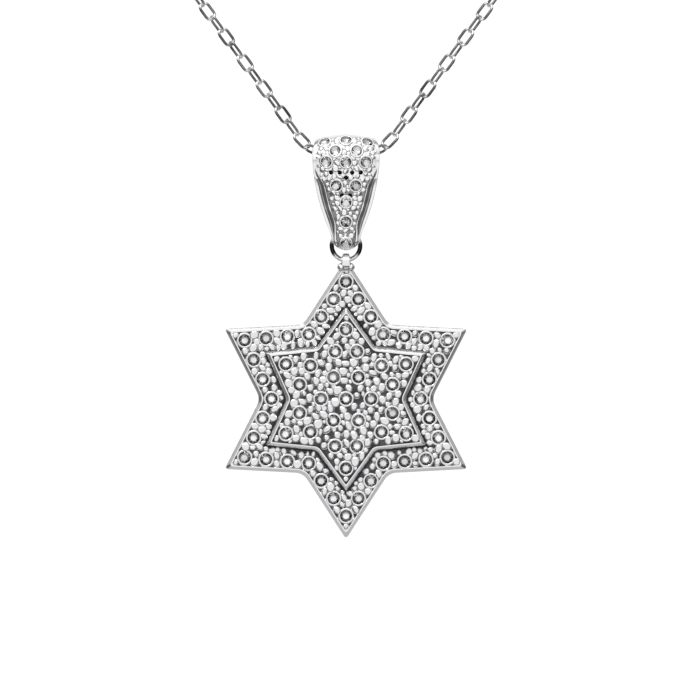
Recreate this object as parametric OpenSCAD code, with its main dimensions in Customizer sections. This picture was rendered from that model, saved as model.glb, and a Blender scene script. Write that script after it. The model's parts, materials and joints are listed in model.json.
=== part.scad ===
/* [Star] */
// Distance from the star's centre to the points of its outline
star_tip_r = 12.35; // [12:0.05:12.8]
// Distance from the star's centre to the sharp inner corners of its outline
star_notch_r = 7.55; // [7.3:0.05:8]
// Thickness of the star's outer plate
plate_t = 1.2; // [1:0.1:2]
// Width of the polished slope round the outer plate, seen from the front
rim_w = 0.34; // [0.2:0.02:0.4]
// Height of the straight wall below that slope
rim_wall = 0.5; // [0.3:0.05:0.7]
// Distance from the centre to the points of the raised inner star
inner_tip_r = 8.1; // [7.6:0.1:8.4]
// Distance from the centre to the sharp inner corners of the raised star
inner_notch_r = 5.2; // [5:0.05:5.5]
// Height of the raised star above the outer plate
inner_rise = 0.9; // [0.6:0.05:1.2]
// Width of the slope round the raised star, seen from the front
inner_slope_w = 0.3; // [0.2:0.02:0.4]
// Wall left round the recess in the back, under the raised star
recess_wall = 0.7; // [0.5:0.05:0.9]
// Depth of that recess
recess_depth = 0.9; // [0.5:0.05:1.1]
// Width of the blunt end of each point of the outer plate
tip_blunt = 0.4; // [0.2:0.02:0.5]
// Width of the blunt end of each point of the raised star
inner_blunt = 0.16; // [0.1:0.02:0.3]
// Length along each edge over which an inner corner of the outer plate is eased
notch_ease = 0.8; // [0.4:0.1:1.6]
// The same for the raised star
inner_ease = 0.4; // [0.2:0.1:0.8]

/* [Stones] */
// Diameter of the star's stones
stone_d = 1.12; // [1:0.02:1.2]
// Diameter of the bail's stones
bail_stone_d = 1; // [0.9:0.02:1.1]
// Gap between a stone's widest line and its seat
seat_gap = 0.04; // [0.03:0.01:0.06]
// How far the widest line of a stone lies under the metal's surface
stone_sink = 0.06; // [0.02:0.01:0.12]
// Radius of the hole behind each stone
hole_r = 0.3; // [0.2:0.02:0.4]
// Distance from the centre to the stones in the outer points
outer_tip_stone_r = 10.3; // [10:0.05:10.4]
// Distance from the centre to the stones in the outer inner corners
outer_notch_stone_r = 6.55; // [6.5:0.05:6.7]
// Distance from the centre to the ring of stones round the middle one
ring_stone_r = 2.2; // [2:0.05:2.3]
// Distance from the centre to the pair of stones in each raised arm
arm_stone_r = 4.27; // [4.2:0.05:4.4]
// Distance from the centre to the stone in each raised point
inner_tip_stone_r = 6.1; // [6:0.05:6.3]

/* [Bail and rings] */
// Width of the bail at its widest
bail_w = 5.94; // [5.5:0.02:6.2]
// Height of the bail
bail_h = 10.4; // [9.6:0.1:11.2]
// Outer radius of the bail's top, seen from the side
bail_top_r = 2.23; // [2.15:0.01:2.45]
// Outer radius of the bail's lower end, seen from the side
bail_foot_r = 0.9; // [0.85:0.05:1]
// Half the width of the bail's lower end
bail_end_r = 0.92; // [0.85:0.01:0.94]
// Inner radius of the bail's top, seen from the side
bail_bore_r = 1.1; // [1.05:0.05:1.2]
// Half the depth of the bail's hollow at the jump ring
bail_pocket = 0.62; // [0.6:0.01:0.64]
// Height of the metal at the bail's foot, under the jump ring's top
foot_t = 1.4; // [1.3:0.05:1.5]
// Height of the dome across the bail's top
bail_dome = 0.55; // [0.3:0.05:0.7]
// How much wider the bail's hollow is at its two mouths
mouth_flare = 0.45; // [0.35:0.05:0.55]
// Middle radius of the jump ring
ring_r = 1.25; // [1.2:0.05:1.3]
// Wire diameter of the jump ring
ring_wire = 0.4; // [0.35:0.01:0.42]
// Gap between the jump ring and the foot of the bail
ring_gap = 0.08; // [0.06:0.01:0.12]
// Radius of the hole in the star's top loop
loop_hole_r = 0.53; // [0.5:0.01:0.6]
// Thickness of the star's top loop
loop_t = 0.3; // [0.26:0.01:0.32]
// Width of the star's top loop, seen from the front
loop_w = 0.7; // [0.5:0.05:0.72]
// Distance from the star's centre to the middle of its top loop
loop_up = 12; // [11.9:0.05:12.2]
// Gap between the jump ring and the star's top loop
loop_gap = 0.1; // [0.06:0.01:0.12]

/* [Chain] */
// Outer diameter of the chain
chain_d = 1; // [0.8:0.05:1.1]
// Gap between the chain and the bail that hangs on it
chain_gap = 0.1; // [0.06:0.01:0.12]
// Middle radius of the round clasp
clasp_r = 2.2; // [2:0.1:3]
// Wire diameter of the round clasp
clasp_wire = 1.2; // [1:0.1:1.4]
// Middle radius of the small rings on the clasp
eye_r = 0.75; // [0.7:0.05:0.9]
// Wire diameter of the small rings on the clasp
eye_wire = 0.44; // [0.4:0.02:0.5]

/* [Hidden] */
$fn = 48;
over = 1;

// The chain's right half, from the bail up to the back of the neck: x, y, z
chain_route = [
  [0, -106, -134], [1.5, -106, -134], [2.6, -106, -133.9], [3.3, -106, -133.55],
  [4, -106, -132.8], [5.6, -105.9, -130.6], [12.7, -105.6, -120.9], [25, -104, -104.1],
  [37, -100.5, -88], [45.5, -94, -74.5], [51.5, -83, -59.5], [54.5, -66.5, -43.5],
  [53.5, -48, -28.5], [48, -30, -16], [38, -15, -7.5], [26, -5.8, -2.8],
  [15, -1, -0.8], [9, 0.3, -0.2], [4.7, 0.6, 0]
];
neck_y = chain_route[len(chain_route) - 1][1];
chain_sides = 8;
rings_each = 2;

// What the bail and the star hang on, from the top down
star_y = chain_route[0][1];
hinge_z = chain_route[0][2] - (bail_bore_r - chain_gap - chain_d / 2);
bail_foot_z = hinge_z + bail_top_r - bail_h;
ring_inner_r = ring_r - ring_wire / 2;
ring_z = bail_foot_z + foot_t - (ring_inner_r - ring_gap);
ring_hinge_z = ring_z + ring_r;
star_hinge_z = ring_z - ring_r;
loop_z = star_hinge_z + ring_wire / 2 + loop_gap - loop_hole_r;
star_z = loop_z - loop_up;

// How far the plate's back lies behind the line that the star hangs on, for balance
plate_back = (plate_t + inner_rise) * 0.44;
arms = 6;
arm_turn = 360 / arms;

// A stone's proportions, as shares of its radius
table_share = 0.57;
crown_share = 0.32;
girdle_share = 0.06;
pavilion_share = 0.86;
facets = 8;
seat_cone_share = 1.1;

// Half the angle at a point of a star, and the same star drawn in by w on every edge
function tip_half(tip, notch) = atan2(notch * sin(arm_turn / 2), tip - notch * cos(arm_turn / 2));
function tip_in(tip, notch, w) = tip - w / sin(tip_half(tip, notch));
function notch_in(tip, notch, w) = notch - w / sin(arm_turn / 2 + tip_half(tip, notch));

function polar(r, a) = [r * cos(a), r * sin(a)];
function unit(v) = v / norm(v);
function bend(a, b, c, t) = (1 - t) * (1 - t) * a + 2 * t * (1 - t) * b + t * t * c;

// Outline of a star with blunt points and eased inner corners, seen from the front, whose
// top point is cut off at the height top
ease_steps = 3;
function star_outline(tip, notch, blunt, ease, top) = [for (k = [0:arms - 1])
  let (
    a = 90 + k * arm_turn,
    t = polar(tip, a),
    n = polar(notch, a + arm_turn / 2),
    t2 = polar(tip, a + arm_turn),
    back = unit(polar(notch, a - arm_turn / 2) - t),
    ahead = unit(n - t),
    half = tip_half(tip, notch),
    cut = k == 0 ? max((tip - top) / cos(half), blunt / 2 / sin(half)) : blunt / 2 / sin(half),
    from = n - ahead * ease,
    to = n + unit(t2 - n) * ease
  )
  each concat([t + back * cut, t + ahead * cut],
    [for (s = [0:ease_steps]) bend(from, n, to, s / ease_steps)])];

// Solid through rings of points at given heights, each ring an outline of as many points
// round the middle, with a fan of triangles from the middle as its floor and its roof
module stack_rings(outlines, heights) {
  n = len(outlines[0]);
  last = len(outlines) - 1;
  points = concat([for (i = [0:last]) for (p = outlines[i]) [p[0], p[1], heights[i]]],
    [[0, 0, heights[0]], [0, 0, heights[last]]]);
  middle = (last + 1) * n;
  faces = [for (j = [0:n - 1]) let (k = (j + 1) % n, top = last * n)
    each concat([for (i = [0:last - 1]) let (a = i * n, b = a + n) [a + j, b + j, b + k, a + k]],
      [[middle, j, k], [middle + 1, top + k, top + j]])];
  polyhedron(points, faces, convexity = 6);
}

// Places of the stones, seen from the front
function between(a, b, t) = a * (1 - t) + b * t;
outer_places = [for (k = [0:arms - 1])
  let (
    a = 90 + k * arm_turn,
    t = polar(outer_tip_stone_r, a),
    n = polar(outer_notch_stone_r, a + arm_turn / 2),
    t2 = polar(outer_tip_stone_r, a + arm_turn)
  )
  each [t, between(t, n, 1 / 3), between(t, n, 2 / 3), n,
    between(n, t2, 1 / 3), between(n, t2, 2 / 3)]];
arm_spread = 13;
inner_places = concat([[0, 0]], [for (k = [0:arms - 1])
  let (a = 90 + k * arm_turn)
  each [polar(ring_stone_r, a + arm_turn / 2), polar(arm_stone_r, a - arm_spread),
    polar(arm_stone_r, a + arm_spread), polar(inner_tip_stone_r, a)]]);

// Points of one stone with its table towards +z, tilted about x by tilt and moved to place
function stone_local(r) = concat(
  [for (i = [0:facets - 1]) [each polar(r * table_share, i * 360 / facets), r * crown_share]],
  [for (i = [0:facets - 1]) [each polar(r, i * 360 / facets), 0]],
  [for (i = [0:facets - 1]) [each polar(r, i * 360 / facets), -r * girdle_share]],
  [[0, 0, -r * (girdle_share + pavilion_share)]]);
function tilted(p, a) = [p[0], p[1] * cos(a) - p[2] * sin(a), p[1] * sin(a) + p[2] * cos(a)];
stone_size = 3 * facets + 1;
function stone_faces(at) = concat(
  [[for (i = [facets - 1:-1:0]) at + i]],
  [for (ring = [0, 1]) for (i = [0:facets - 1])
    let (k = (i + 1) % facets, a = at + ring * facets)
    [a + i, a + k, a + facets + k, a + facets + i]],
  [for (i = [0:facets - 1])
    [at + 2 * facets + i, at + 2 * facets + (i + 1) % facets, at + 3 * facets]]);

// A field of stones of radius r: each place is a point on the metal and a tilt about x
module stones(places, r) {
  points = [for (p = places) for (q = stone_local(r)) p[0] + tilted(q - [0, 0, stone_sink], p[1])];
  polyhedron(points, [for (i = [0:len(places) - 1]) each stone_faces(i * stone_size)]);
}

// The cut that one stone of radius r sits in: a bearing cone with a hole behind it
module seat(r, through) {
  wide = r + seat_gap;
  deep = stone_sink + r * girdle_share;
  translate([0, 0, -deep]) cylinder(h = deep + over, r = wide);
  translate([0, 0, -deep - r * seat_cone_share])
    cylinder(h = r * seat_cone_share, r1 = hole_r, r2 = wide);
  translate([0, 0, -through]) cylinder(h = through, r = hole_r);
}

// Turns a shape drawn from the front, x right, y up and z towards the viewer, upright
module upright() {
  translate([0, star_y, star_z]) rotate([90, 0, 0]) children();
}

// Height of the metal's surface towards the viewer, from the line that the star hangs on
plate_front = plate_t - plate_back;
inner_front = plate_front + inner_rise;

// Shoulder under the top loop, where the point of the star is cut short
shoulder_top = loop_up - loop_hole_r - loop_t / 3;

// Outline of the outer plate and of the raised star, drawn in by w on every edge
function outer_outline(w) = star_outline(tip_in(star_tip_r, star_notch_r, w),
  notch_in(star_tip_r, star_notch_r, w), tip_blunt, notch_ease, shoulder_top - w / 2);
function inner_outline(w) = star_outline(tip_in(inner_tip_r, inner_notch_r, w),
  notch_in(inner_tip_r, inner_notch_r, w), inner_blunt, inner_ease, star_tip_r);

module outer_plate() {
  base = outer_outline(0);
  stack_rings([base, base, outer_outline(rim_w)],
    [-plate_back, rim_wall - plate_back, plate_front]);
}

// The raised star, whose foot is set into the plate
module inner_plate() {
  foot_in = plate_t / 4;
  stack_rings([inner_outline(0), inner_outline(inner_slope_w)],
    [plate_front - foot_in, inner_front]);
}

module back_recess() {
  translate([0, 0, -plate_back - over]) linear_extrude(recess_depth + over)
    polygon(inner_outline(recess_wall));
}

// The shoulder's height, and its widths as shares of the loop's width
shoulder_h = 0.55;
shoulder_half = loop_w;
shoulder_foot = loop_w * 1.36;

module top_loop() {
  shoulder_low = shoulder_top - shoulder_h;
  difference() {
    union() {
      translate([-loop_w / 2, loop_up, 0]) rotate([0, 90, 0])
        cylinder(h = loop_w, r = loop_hole_r + loop_t);
      translate([0, 0, -plate_back + rim_wall / 2])
        linear_extrude(plate_t - rim_wall / 2 - rim_w / 2)
        polygon([[-shoulder_foot, shoulder_low], [shoulder_foot, shoulder_low],
          [shoulder_half, shoulder_top], [-shoulder_half, shoulder_top]]);
    }
    translate([-star_tip_r / 2, loop_up, 0]) rotate([0, 90, 0])
      cylinder(h = star_tip_r, r = loop_hole_r);
  }
}

module star_setting() {
  color("gainsboro") upright() difference() {
    union() {
      difference() {
        union() {
          outer_plate();
          inner_plate();
        }
        back_recess();
      }
      top_loop();
    }
    for (p = outer_places) translate([p[0], p[1], plate_front])
      seat(stone_d / 2, plate_t + over);
    for (p = inner_places) translate([p[0], p[1], inner_front])
      seat(stone_d / 2, plate_t + inner_rise + over);
  }
}

module outer_stones() {
  color("white") upright()
    stones([for (p = outer_places) [[p[0], p[1], plate_front], 0]], stone_d / 2);
}

module inner_stones() {
  color("white") upright()
    stones([for (p = inner_places) [[p[0], p[1], inner_front], 0]], stone_d / 2);
}

module jump_ring() {
  color("gainsboro") translate([0, star_y, ring_z]) rotate([90, 0, 0])
    rotate_extrude() translate([ring_r, 0]) circle(d = ring_wire);
}

// Outline round two circles of radius a and b, the second a length down below the first
drop_steps = 14;
function drop(a, b, down) = let (lean = asin((a - b) / down)) concat(
  [for (s = [0:drop_steps]) polar(a, -lean + s * (180 + 2 * lean) / drop_steps)],
  [for (s = [0:drop_steps])
    [0, -down] + polar(b, 180 + lean + s * (180 - 2 * lean) / drop_steps)]);

// Half the bail's outline from the front, from its top middle to its foot, about the hinge:
// a low dome, a rounded corner, a bowed taper and a round end
bail_half = bail_w / 2;
corner_share = 0.89;
corner_x = bail_half * corner_share;
corner_y = bail_top_r - bail_dome;
widest_y = bail_top_r * 0.22;
end_y = bail_top_r - bail_h + bail_end_r;
dome_r = (corner_x * corner_x + bail_dome * bail_dome) / 2 / bail_dome;
dome_turn = asin(corner_x / dome_r);
dome_steps = 4;
corner_steps = 4;
taper_steps = 8;
end_steps = 6;
bail_side = concat(
  [for (s = [0:dome_steps]) let (a = s * dome_turn / dome_steps)
    [dome_r * sin(a), bail_top_r - dome_r * (1 - cos(a))]],
  [for (s = [1:corner_steps]) bend([corner_x, corner_y],
    [bail_half, corner_y - (bail_half - corner_x)], [bail_half, widest_y], s / corner_steps)],
  [for (s = [1:taper_steps]) let (t = s / taper_steps)
    [bail_end_r + (bail_half - bail_end_r) * (1 - t * t), widest_y + (end_y - widest_y) * t]],
  [for (s = [1:end_steps]) [bail_end_r * cos(s * 90 / end_steps),
    end_y - bail_end_r * sin(s * 90 / end_steps)]]);
bail_outline = concat(bail_side, [for (i = [len(bail_side) - 2:-1:1]) [-bail_side[i][0],
  bail_side[i][1]]]);

// A solid of an outline drawn from the side, x towards the back and y up
module across(width, outline) {
  rotate([0, 0, 90]) rotate([90, 0, 0]) translate([0, 0, -width / 2])
    linear_extrude(width) polygon(outline);
}

// The bail's stones: rows of x places, each row a distance round or down the front
foot_down = bail_h - bail_top_r - bail_foot_r;
front_lean = asin((bail_top_r - bail_foot_r) / foot_down);
front_length = foot_down * cos(front_lean);
function front_place(s) = s < 0
  ? let (a = front_lean + s / bail_top_r * 180 / PI)
    [[0, -bail_top_r * cos(a), -bail_top_r * sin(a)], 90 + a]
  : s < front_length
  ? let (n = [0, -cos(front_lean), -sin(front_lean)], d = [0, sin(front_lean), -cos(front_lean)])
    [n * bail_top_r + d * s, 90 + front_lean]
  : let (a = front_lean + (s - front_length) / bail_foot_r * 180 / PI)
    [[0, -bail_foot_r * cos(a), -foot_down - bail_foot_r * sin(a)], 90 + a];
// Columns: how far down the front a row lies, as a share of the front's straight length, and
// how far its stones lie from the middle, as shares of half the bail's width
bail_rows = [
  [-0.294, [-0.64, 0, 0.64]],
  [-0.14, [-0.32, 0.32]],
  [0.007, [-0.59, 0, 0.59]],
  [0.3, [-0.29, 0.29]],
  [0.504, [0]],
  [0.749, [0]],
  [1.021, [0]]
];
bail_places = [for (row = bail_rows) for (x = row[1])
  let (p = front_place(row[0] * front_length)) [p[0] + [x * bail_half, 0, 0], p[1]]];

// Hollow of the bail, wider at its mouths, with a slot round its foot for the jump ring
module bail_hollow() {
  pocket_down = hinge_z - (bail_foot_z + foot_t) - bail_pocket;
  across(2 * bail_w, drop(bail_bore_r, bail_pocket, pocket_down));
  for (side = [-1, 1]) translate([side * bail_half, 0, 0]) rotate([0, -side * 90, 0])
    cylinder(h = bail_bore_r, r1 = bail_bore_r + mouth_flare, r2 = mouth_flare);
  difference() {
    translate([-bail_w, -bail_pocket, -pocket_down - bail_h])
      cube([2 * bail_w, 2 * bail_pocket, bail_h]);
    translate([0, 0, ring_z - hinge_z]) rotate([90, 0, 0])
      cylinder(h = 2 * bail_w, r = ring_inner_r - ring_gap, center = true);
  }
}

module bail() {
  color("gainsboro") translate([0, star_y, hinge_z]) difference() {
    intersection() {
      across(bail_w + over, drop(bail_top_r, bail_foot_r, foot_down));
      rotate([90, 0, 0]) translate([0, 0, -bail_w]) linear_extrude(2 * bail_w)
        polygon(bail_outline);
    }
    bail_hollow();
    for (p = bail_places) translate(p[0]) rotate([p[1], 0, 0])
      seat(bail_stone_d / 2, bail_stone_d);
  }
}

module bail_stones() {
  color("white") translate([0, star_y, hinge_z]) stones(bail_places, bail_stone_d / 2);
}

// The whole route, its smooth curve, and a tube swept along it
full_route = concat([for (i = [len(chain_route) - 1:-1:1])
  [-chain_route[i][0], chain_route[i][1], chain_route[i][2]]], chain_route);
function knot(a, b) = sqrt(norm(b - a));
function mix(a, b, ta, tb, t) = a * (tb - t) / (tb - ta) + b * (t - ta) / (tb - ta);
function on_curve(p0, p1, p2, p3, s) = let (
    t1 = knot(p0, p1),
    t2 = t1 + knot(p1, p2),
    t3 = t2 + knot(p2, p3),
    t = t1 + (t2 - t1) * s,
    b1 = mix(mix(p0, p1, 0, t1, t), mix(p1, p2, t1, t2, t), 0, t2, t),
    b2 = mix(mix(p1, p2, t1, t2, t), mix(p2, p3, t2, t3, t), t1, t3, t)
  ) mix(b1, b2, t1, t2, t);
last_point = len(full_route) - 1;
function route_at(i) = i < 0 ? 2 * full_route[0] - full_route[1]
  : i > last_point ? 2 * full_route[last_point] - full_route[last_point - 1]
  : full_route[i];
curve = concat([for (i = [0:last_point - 1]) for (s = [0:rings_each - 1])
  on_curve(route_at(i - 1), route_at(i), route_at(i + 1), route_at(i + 2), s / rings_each)],
  [full_route[last_point]]);
loop_normal = unit(cross([1, 0, 0], chain_route[0]));

module chain() {
  n = len(curve);
  points = [for (i = [0:n - 1]) let (
      along = unit(curve[min(i + 1, n - 1)] - curve[max(i - 1, 0)]),
      side = unit(cross(along, loop_normal)),
      up = cross(side, along)
    )
    for (j = [0:chain_sides - 1]) let (a = (j + 0.5) * 360 / chain_sides)
      curve[i] + chain_d / 2 * (side * cos(a) + up * sin(a))];
  walls = [for (i = [0:n - 2]) for (j = [0:chain_sides - 1])
    let (k = (j + 1) % chain_sides, a = i * chain_sides, b = a + chain_sides)
    [a + j, b + j, b + k, a + k]];
  start = [for (j = [0:chain_sides - 1]) j];
  end = [for (j = [chain_sides - 1:-1:0]) (n - 1) * chain_sides + j];
  color("silver") polyhedron(points, concat(walls, [start, end]), convexity = 8);
}

module clasp() {
  color("silver") translate([0, neck_y, 0]) rotate([90, 0, 0]) {
    rotate_extrude() translate([clasp_r, 0]) circle(d = clasp_wire);
    for (side = [-1, 1]) translate([side * (clasp_r + clasp_wire / 2 + eye_r), 0, 0])
      rotate_extrude() translate([eye_r, 0]) circle(d = eye_wire);
  }
}

chain();
clasp();
bail();
bail_stones();
jump_ring();
star_setting();
outer_stones();
inner_stones();
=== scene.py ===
"""Looks of a stone-set star pendant on its cable chain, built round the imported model."""

import json
import logging
import math
from contextlib import contextmanager
from dataclasses import dataclass, field
from enum import Enum, IntEnum
from typing import Callable, Iterator, Sequence

import bmesh
import bpy
from bpy.types import Material, Node, NodeSocket, Object
from mathutils import Euler, Matrix, Vector


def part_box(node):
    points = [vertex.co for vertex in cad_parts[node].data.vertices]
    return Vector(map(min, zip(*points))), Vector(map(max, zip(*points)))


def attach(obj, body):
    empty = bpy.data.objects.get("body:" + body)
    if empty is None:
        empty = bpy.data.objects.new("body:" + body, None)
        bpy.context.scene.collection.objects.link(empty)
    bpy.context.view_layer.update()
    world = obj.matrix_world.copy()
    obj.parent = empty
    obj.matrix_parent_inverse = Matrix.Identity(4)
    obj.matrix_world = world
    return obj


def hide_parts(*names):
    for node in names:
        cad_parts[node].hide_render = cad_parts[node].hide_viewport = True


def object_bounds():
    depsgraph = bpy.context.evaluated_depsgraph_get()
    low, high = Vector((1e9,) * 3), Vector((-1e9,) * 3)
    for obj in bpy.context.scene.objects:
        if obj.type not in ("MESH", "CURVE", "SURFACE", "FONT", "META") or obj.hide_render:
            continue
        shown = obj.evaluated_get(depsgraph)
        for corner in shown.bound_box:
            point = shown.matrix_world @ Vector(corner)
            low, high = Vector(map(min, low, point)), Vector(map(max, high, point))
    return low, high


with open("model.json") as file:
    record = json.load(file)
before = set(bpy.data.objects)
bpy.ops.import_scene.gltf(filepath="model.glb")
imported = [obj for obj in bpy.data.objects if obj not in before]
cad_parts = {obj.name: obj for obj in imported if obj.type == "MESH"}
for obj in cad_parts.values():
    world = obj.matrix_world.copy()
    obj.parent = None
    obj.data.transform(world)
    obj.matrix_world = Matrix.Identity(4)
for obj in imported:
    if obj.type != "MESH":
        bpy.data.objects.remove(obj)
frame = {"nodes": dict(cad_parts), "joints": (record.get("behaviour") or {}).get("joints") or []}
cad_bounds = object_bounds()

LOG = logging.getLogger("star_pendant")
MM = 0.001
PHOTO_SIDE_PX = 700
ARMS = 6
ARM_TURN = 360 / ARMS
# Name of the note that says where the jump ring and the links take painted shade.
SHADE_NOTE = "rubbed"
CHANCE_SEED = 7
GRAIN_GRID = 0.08
FIELD_SLOPE = 0.4


class Body(str, Enum):
    """The bodies of the frame that a piece can ride on."""

    NECKLACE = "necklace"
    BAIL = "bail"
    RING = "jump_ring"
    STAR = "star"


class Slot(str, Enum):
    """The record's material slots."""

    CHAIN = "chain_metal"
    BAIL = "bail_metal"
    RING = "ring_metal"
    STAR = "star_metal"
    STONE = "clear_stone"


class Look(IntEnum):
    """The numbers of the materials that a piece of metal has on its faces: its polish, a satin tone, and the
    painted shade and painted light in its cuts, holes and grooves.
    """

    POLISHED = 0
    RECESSED = 1
    BRIGHT = 2
    DRILLED = 3
    GROOVED = 4


def polar(radius: float, degrees: float) -> Vector:
    """Returns the flat point at a radius and an angle from +x."""
    a = math.radians(degrees)
    return Vector((radius * math.cos(a), radius * math.sin(a)))


def bend(start: Vector, corner: Vector, end: Vector, t: float) -> Vector:
    """Returns the point at share t of the curve that rounds a corner."""
    return (1 - t) ** 2 * start + 2 * t * (1 - t) * corner + t * t * end


def clamped(value: float) -> float:
    """Returns a value held between 0 and 1."""
    return min(max(value, 0), 1)


def joint_place(name: str) -> Vector:
    """Returns the place of a joint of the frame, in mm."""
    return Vector(next(j for j in frame["joints"] if j["name"] == name)["pos_m"]) / MM


def middle_of(node: str) -> Vector:
    """Returns the middle of a node's box, in mm."""
    low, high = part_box(node)
    return (low + high) / 2 / MM


def new_object(name: str, data: bpy.types.ID) -> Object:
    """Makes an object of a mesh, a lamp or a camera.

    Args:
        name: The object's name.
        data: What it shows.

    Returns:
        The new object, linked to the scene.
    """
    made = bpy.data.objects.new(name, data)
    bpy.context.scene.collection.objects.link(made)
    return made


def mesh_object(name: str, points: Sequence[Vector], faces: Sequence[Sequence[int]] = (),
                edges: Sequence[tuple[int, int]] = ()) -> Object:
    """Makes an object at the origin from points in mm.

    Args:
        name: The object's name.
        points: Places of the mesh's points, in mm.
        faces: Rows of point numbers.
        edges: Pairs of point numbers, where there are no faces.

    Returns:
        The new object, linked to the scene.
    """
    mesh = bpy.data.meshes.new(name)
    mesh.from_pydata([Vector(p) * MM for p in points], edges, faces)
    return new_object(name, mesh)


@contextmanager
def mesh_work(made: Object) -> Iterator[bmesh.types.BMesh]:
    """Opens an object's mesh for changes and puts them in place at the end.

    Args:
        made: The object.

    Yields:
        The open mesh.
    """
    work = bmesh.new()
    work.from_mesh(made.data)
    yield work
    work.to_mesh(made.data)
    work.free()


def solid(name: str, points: Sequence[Vector], faces: Sequence[Sequence[int]],
          smooth: bool = False) -> Object:
    """Makes a closed shape whose faces point outwards.

    Args:
        name: The object's name.
        points: Places of the mesh's points, in mm.
        faces: Rows of point numbers, wound either way.
        smooth: Whether it is shaded smooth all over.

    Returns:
        The shape.
    """
    made = mesh_object(name, points, faces)
    with mesh_work(made) as work:
        bmesh.ops.recalc_face_normals(work, faces=work.faces)
    if smooth:
        made.data.shade_smooth()
    return made


def wound(name: str, sections: Sequence[Sequence[Vector]], smooth: bool = False) -> Object:
    """Makes a closed shape through sections that run round and back to the first.

    Args:
        name: The object's name.
        sections: Each section's points in mm, as many in each.
        smooth: Whether it is shaded smooth all over.

    Returns:
        The shape, its faces in the sections' order.
    """
    n, count = len(sections[0]), len(sections)
    faces = [(i * n + j, i * n + (j + 1) % n, (i + 1) % count * n + (j + 1) % n, (i + 1) % count * n + j)
             for i in range(count) for j in range(n)]
    return solid(name, [p for section in sections for p in section], faces, smooth)


def stacked_faces(n: int, levels: int, first: int = 0) -> list[Sequence[int]]:
    """Lists the faces of a closed shape through outlines that lie over each other.

    Args:
        n: Points in each outline.
        levels: How many outlines there are.
        first: Number of the first point.

    Returns:
        The walls from the foot up, then the foot and the top.
    """
    top = first + (levels - 1) * n
    walls = [(a + i, a + (i + 1) % n, a + n + (i + 1) % n, a + n + i)
             for a in range(first, top, n) for i in range(n)]
    return [*walls, range(first + n - 1, first - 1, -1), range(top, top + n)]


def shade(made: Object, sharp_degrees: float) -> None:
    """Shades a mesh smooth but for edges over an angle.

    Args:
        made: The object whose mesh is shaded.
        sharp_degrees: Edges whose faces turn more than this stay sharp.
    """
    with mesh_work(made) as work:
        for f in work.faces:
            f.smooth = True
        for e in work.edges:
            e.smooth = len(e.link_faces) == 2 and e.calc_face_angle(0.0) < math.radians(sharp_degrees)


def bake(made: Object) -> None:
    """Turns an object's modifiers into a plain mesh and removes them.

    Args:
        made: The object, which keeps the result.
    """
    bpy.context.view_layer.update()
    graph = bpy.context.evaluated_depsgraph_get()
    old = made.data
    mesh = bpy.data.meshes.new_from_object(made.evaluated_get(graph), depsgraph=graph)
    made.modifiers.clear()
    made.data = mesh
    mesh.name = made.name
    bpy.data.meshes.remove(old)


def cut(made: Object, tool: Object) -> None:
    """Cuts one object with another.

    Args:
        made: The object that is cut.
        tool: What cuts it, which is used up and leaves its finish on the cut.
    """
    step = made.modifiers.new("cut", "BOOLEAN")
    step.operation, step.solver, step.material_mode, step.object = "DIFFERENCE", "EXACT", "INDEX", tool
    bake(made)
    bpy.data.objects.remove(tool)


class NodeTree:
    """Short words for building one node tree."""

    def __init__(self, tree: bpy.types.NodeTree) -> None:
        """Keeps the tree that nodes are added to."""
        self.tree = tree

    def fill(self, node: Node, values: dict[str | int, object]) -> Node:
        """Sets or links inputs of a node.

        Args:
            node: The node.
            values: What each input gets, by its name or number: a value, or an output to link.

        Returns:
            The same node.
        """
        for key, value in values.items():
            if isinstance(value, NodeSocket):
                self.tree.links.new(value, node.inputs[key])
            else:
                node.inputs[key].default_value = value
        return node

    def get(self, kind: str, output: str | int, values: dict[str | int, object] | None = None,
            **settings: object) -> NodeSocket:
        """Adds a node.

        Args:
            kind: The node's type.
            output: Name or number of the output that is wanted.
            values: What each input gets.
            **settings: The node's properties.

        Returns:
            The output.
        """
        node = self.tree.nodes.new(kind)
        for key, value in settings.items():
            setattr(node, key, value)
        return self.fill(node, values or {}).outputs[output]

    def math(self, operation: str, a: object, b: object) -> NodeSocket:
        """Returns the result of two values, each an output or a number."""
        return self.get("ShaderNodeMath", 0, {0: a, 1: b}, operation=operation)

    def vector(self, operation: str, a: object, b: object) -> NodeSocket:
        """Returns the result of a vector with another vector, or with a number for SCALE."""
        second = 3 if operation == "SCALE" else 1
        return self.get("ShaderNodeVectorMath", 0, {0: a, second: b}, operation=operation)

    def noise(self, per_m: float, detail: float = 2, place: NodeSocket | None = None) -> NodeSocket:
        """Returns a soft noise over a place, which is the piece's own if none is given."""
        place = place or self.get("ShaderNodeTexCoord", "Object")
        return self.get("ShaderNodeTexNoise", "Fac", {"Scale": per_m, "Detail": detail, "Vector": place})

    def spread(self, value: NodeSocket, low: float, high: float, start: float = 0, end: float = 1,
               ease: str = "LINEAR") -> NodeSocket:
        """Spreads a value that runs from start to end over another range.

        Args:
            value: The value.
            low: What start becomes.
            high: What end becomes.
            start: Where the value starts.
            end: Where the value ends.
            ease: How it runs between them.

        Returns:
            The new value, held between low and high.
        """
        values = {"Value": value, "From Min": start, "From Max": end, "To Min": low, "To Max": high}
        return self.get("ShaderNodeMapRange", "Result", values, interpolation_type=ease)

    def turned(self, turn: NodeSocket, spin: NodeSocket) -> NodeSocket:
        """Follows a turn by a spin about its own axes.

        Args:
            turn: The turn.
            spin: The spin, as three angles in radians.

        Returns:
            Both together.
        """
        spun = self.get("FunctionNodeEulerToRotation", 0, {"Euler": spin})
        return self.get("FunctionNodeRotateRotation", 0, {"Rotation": turn, "Rotate By": spun},
                        rotation_space="LOCAL")


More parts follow.
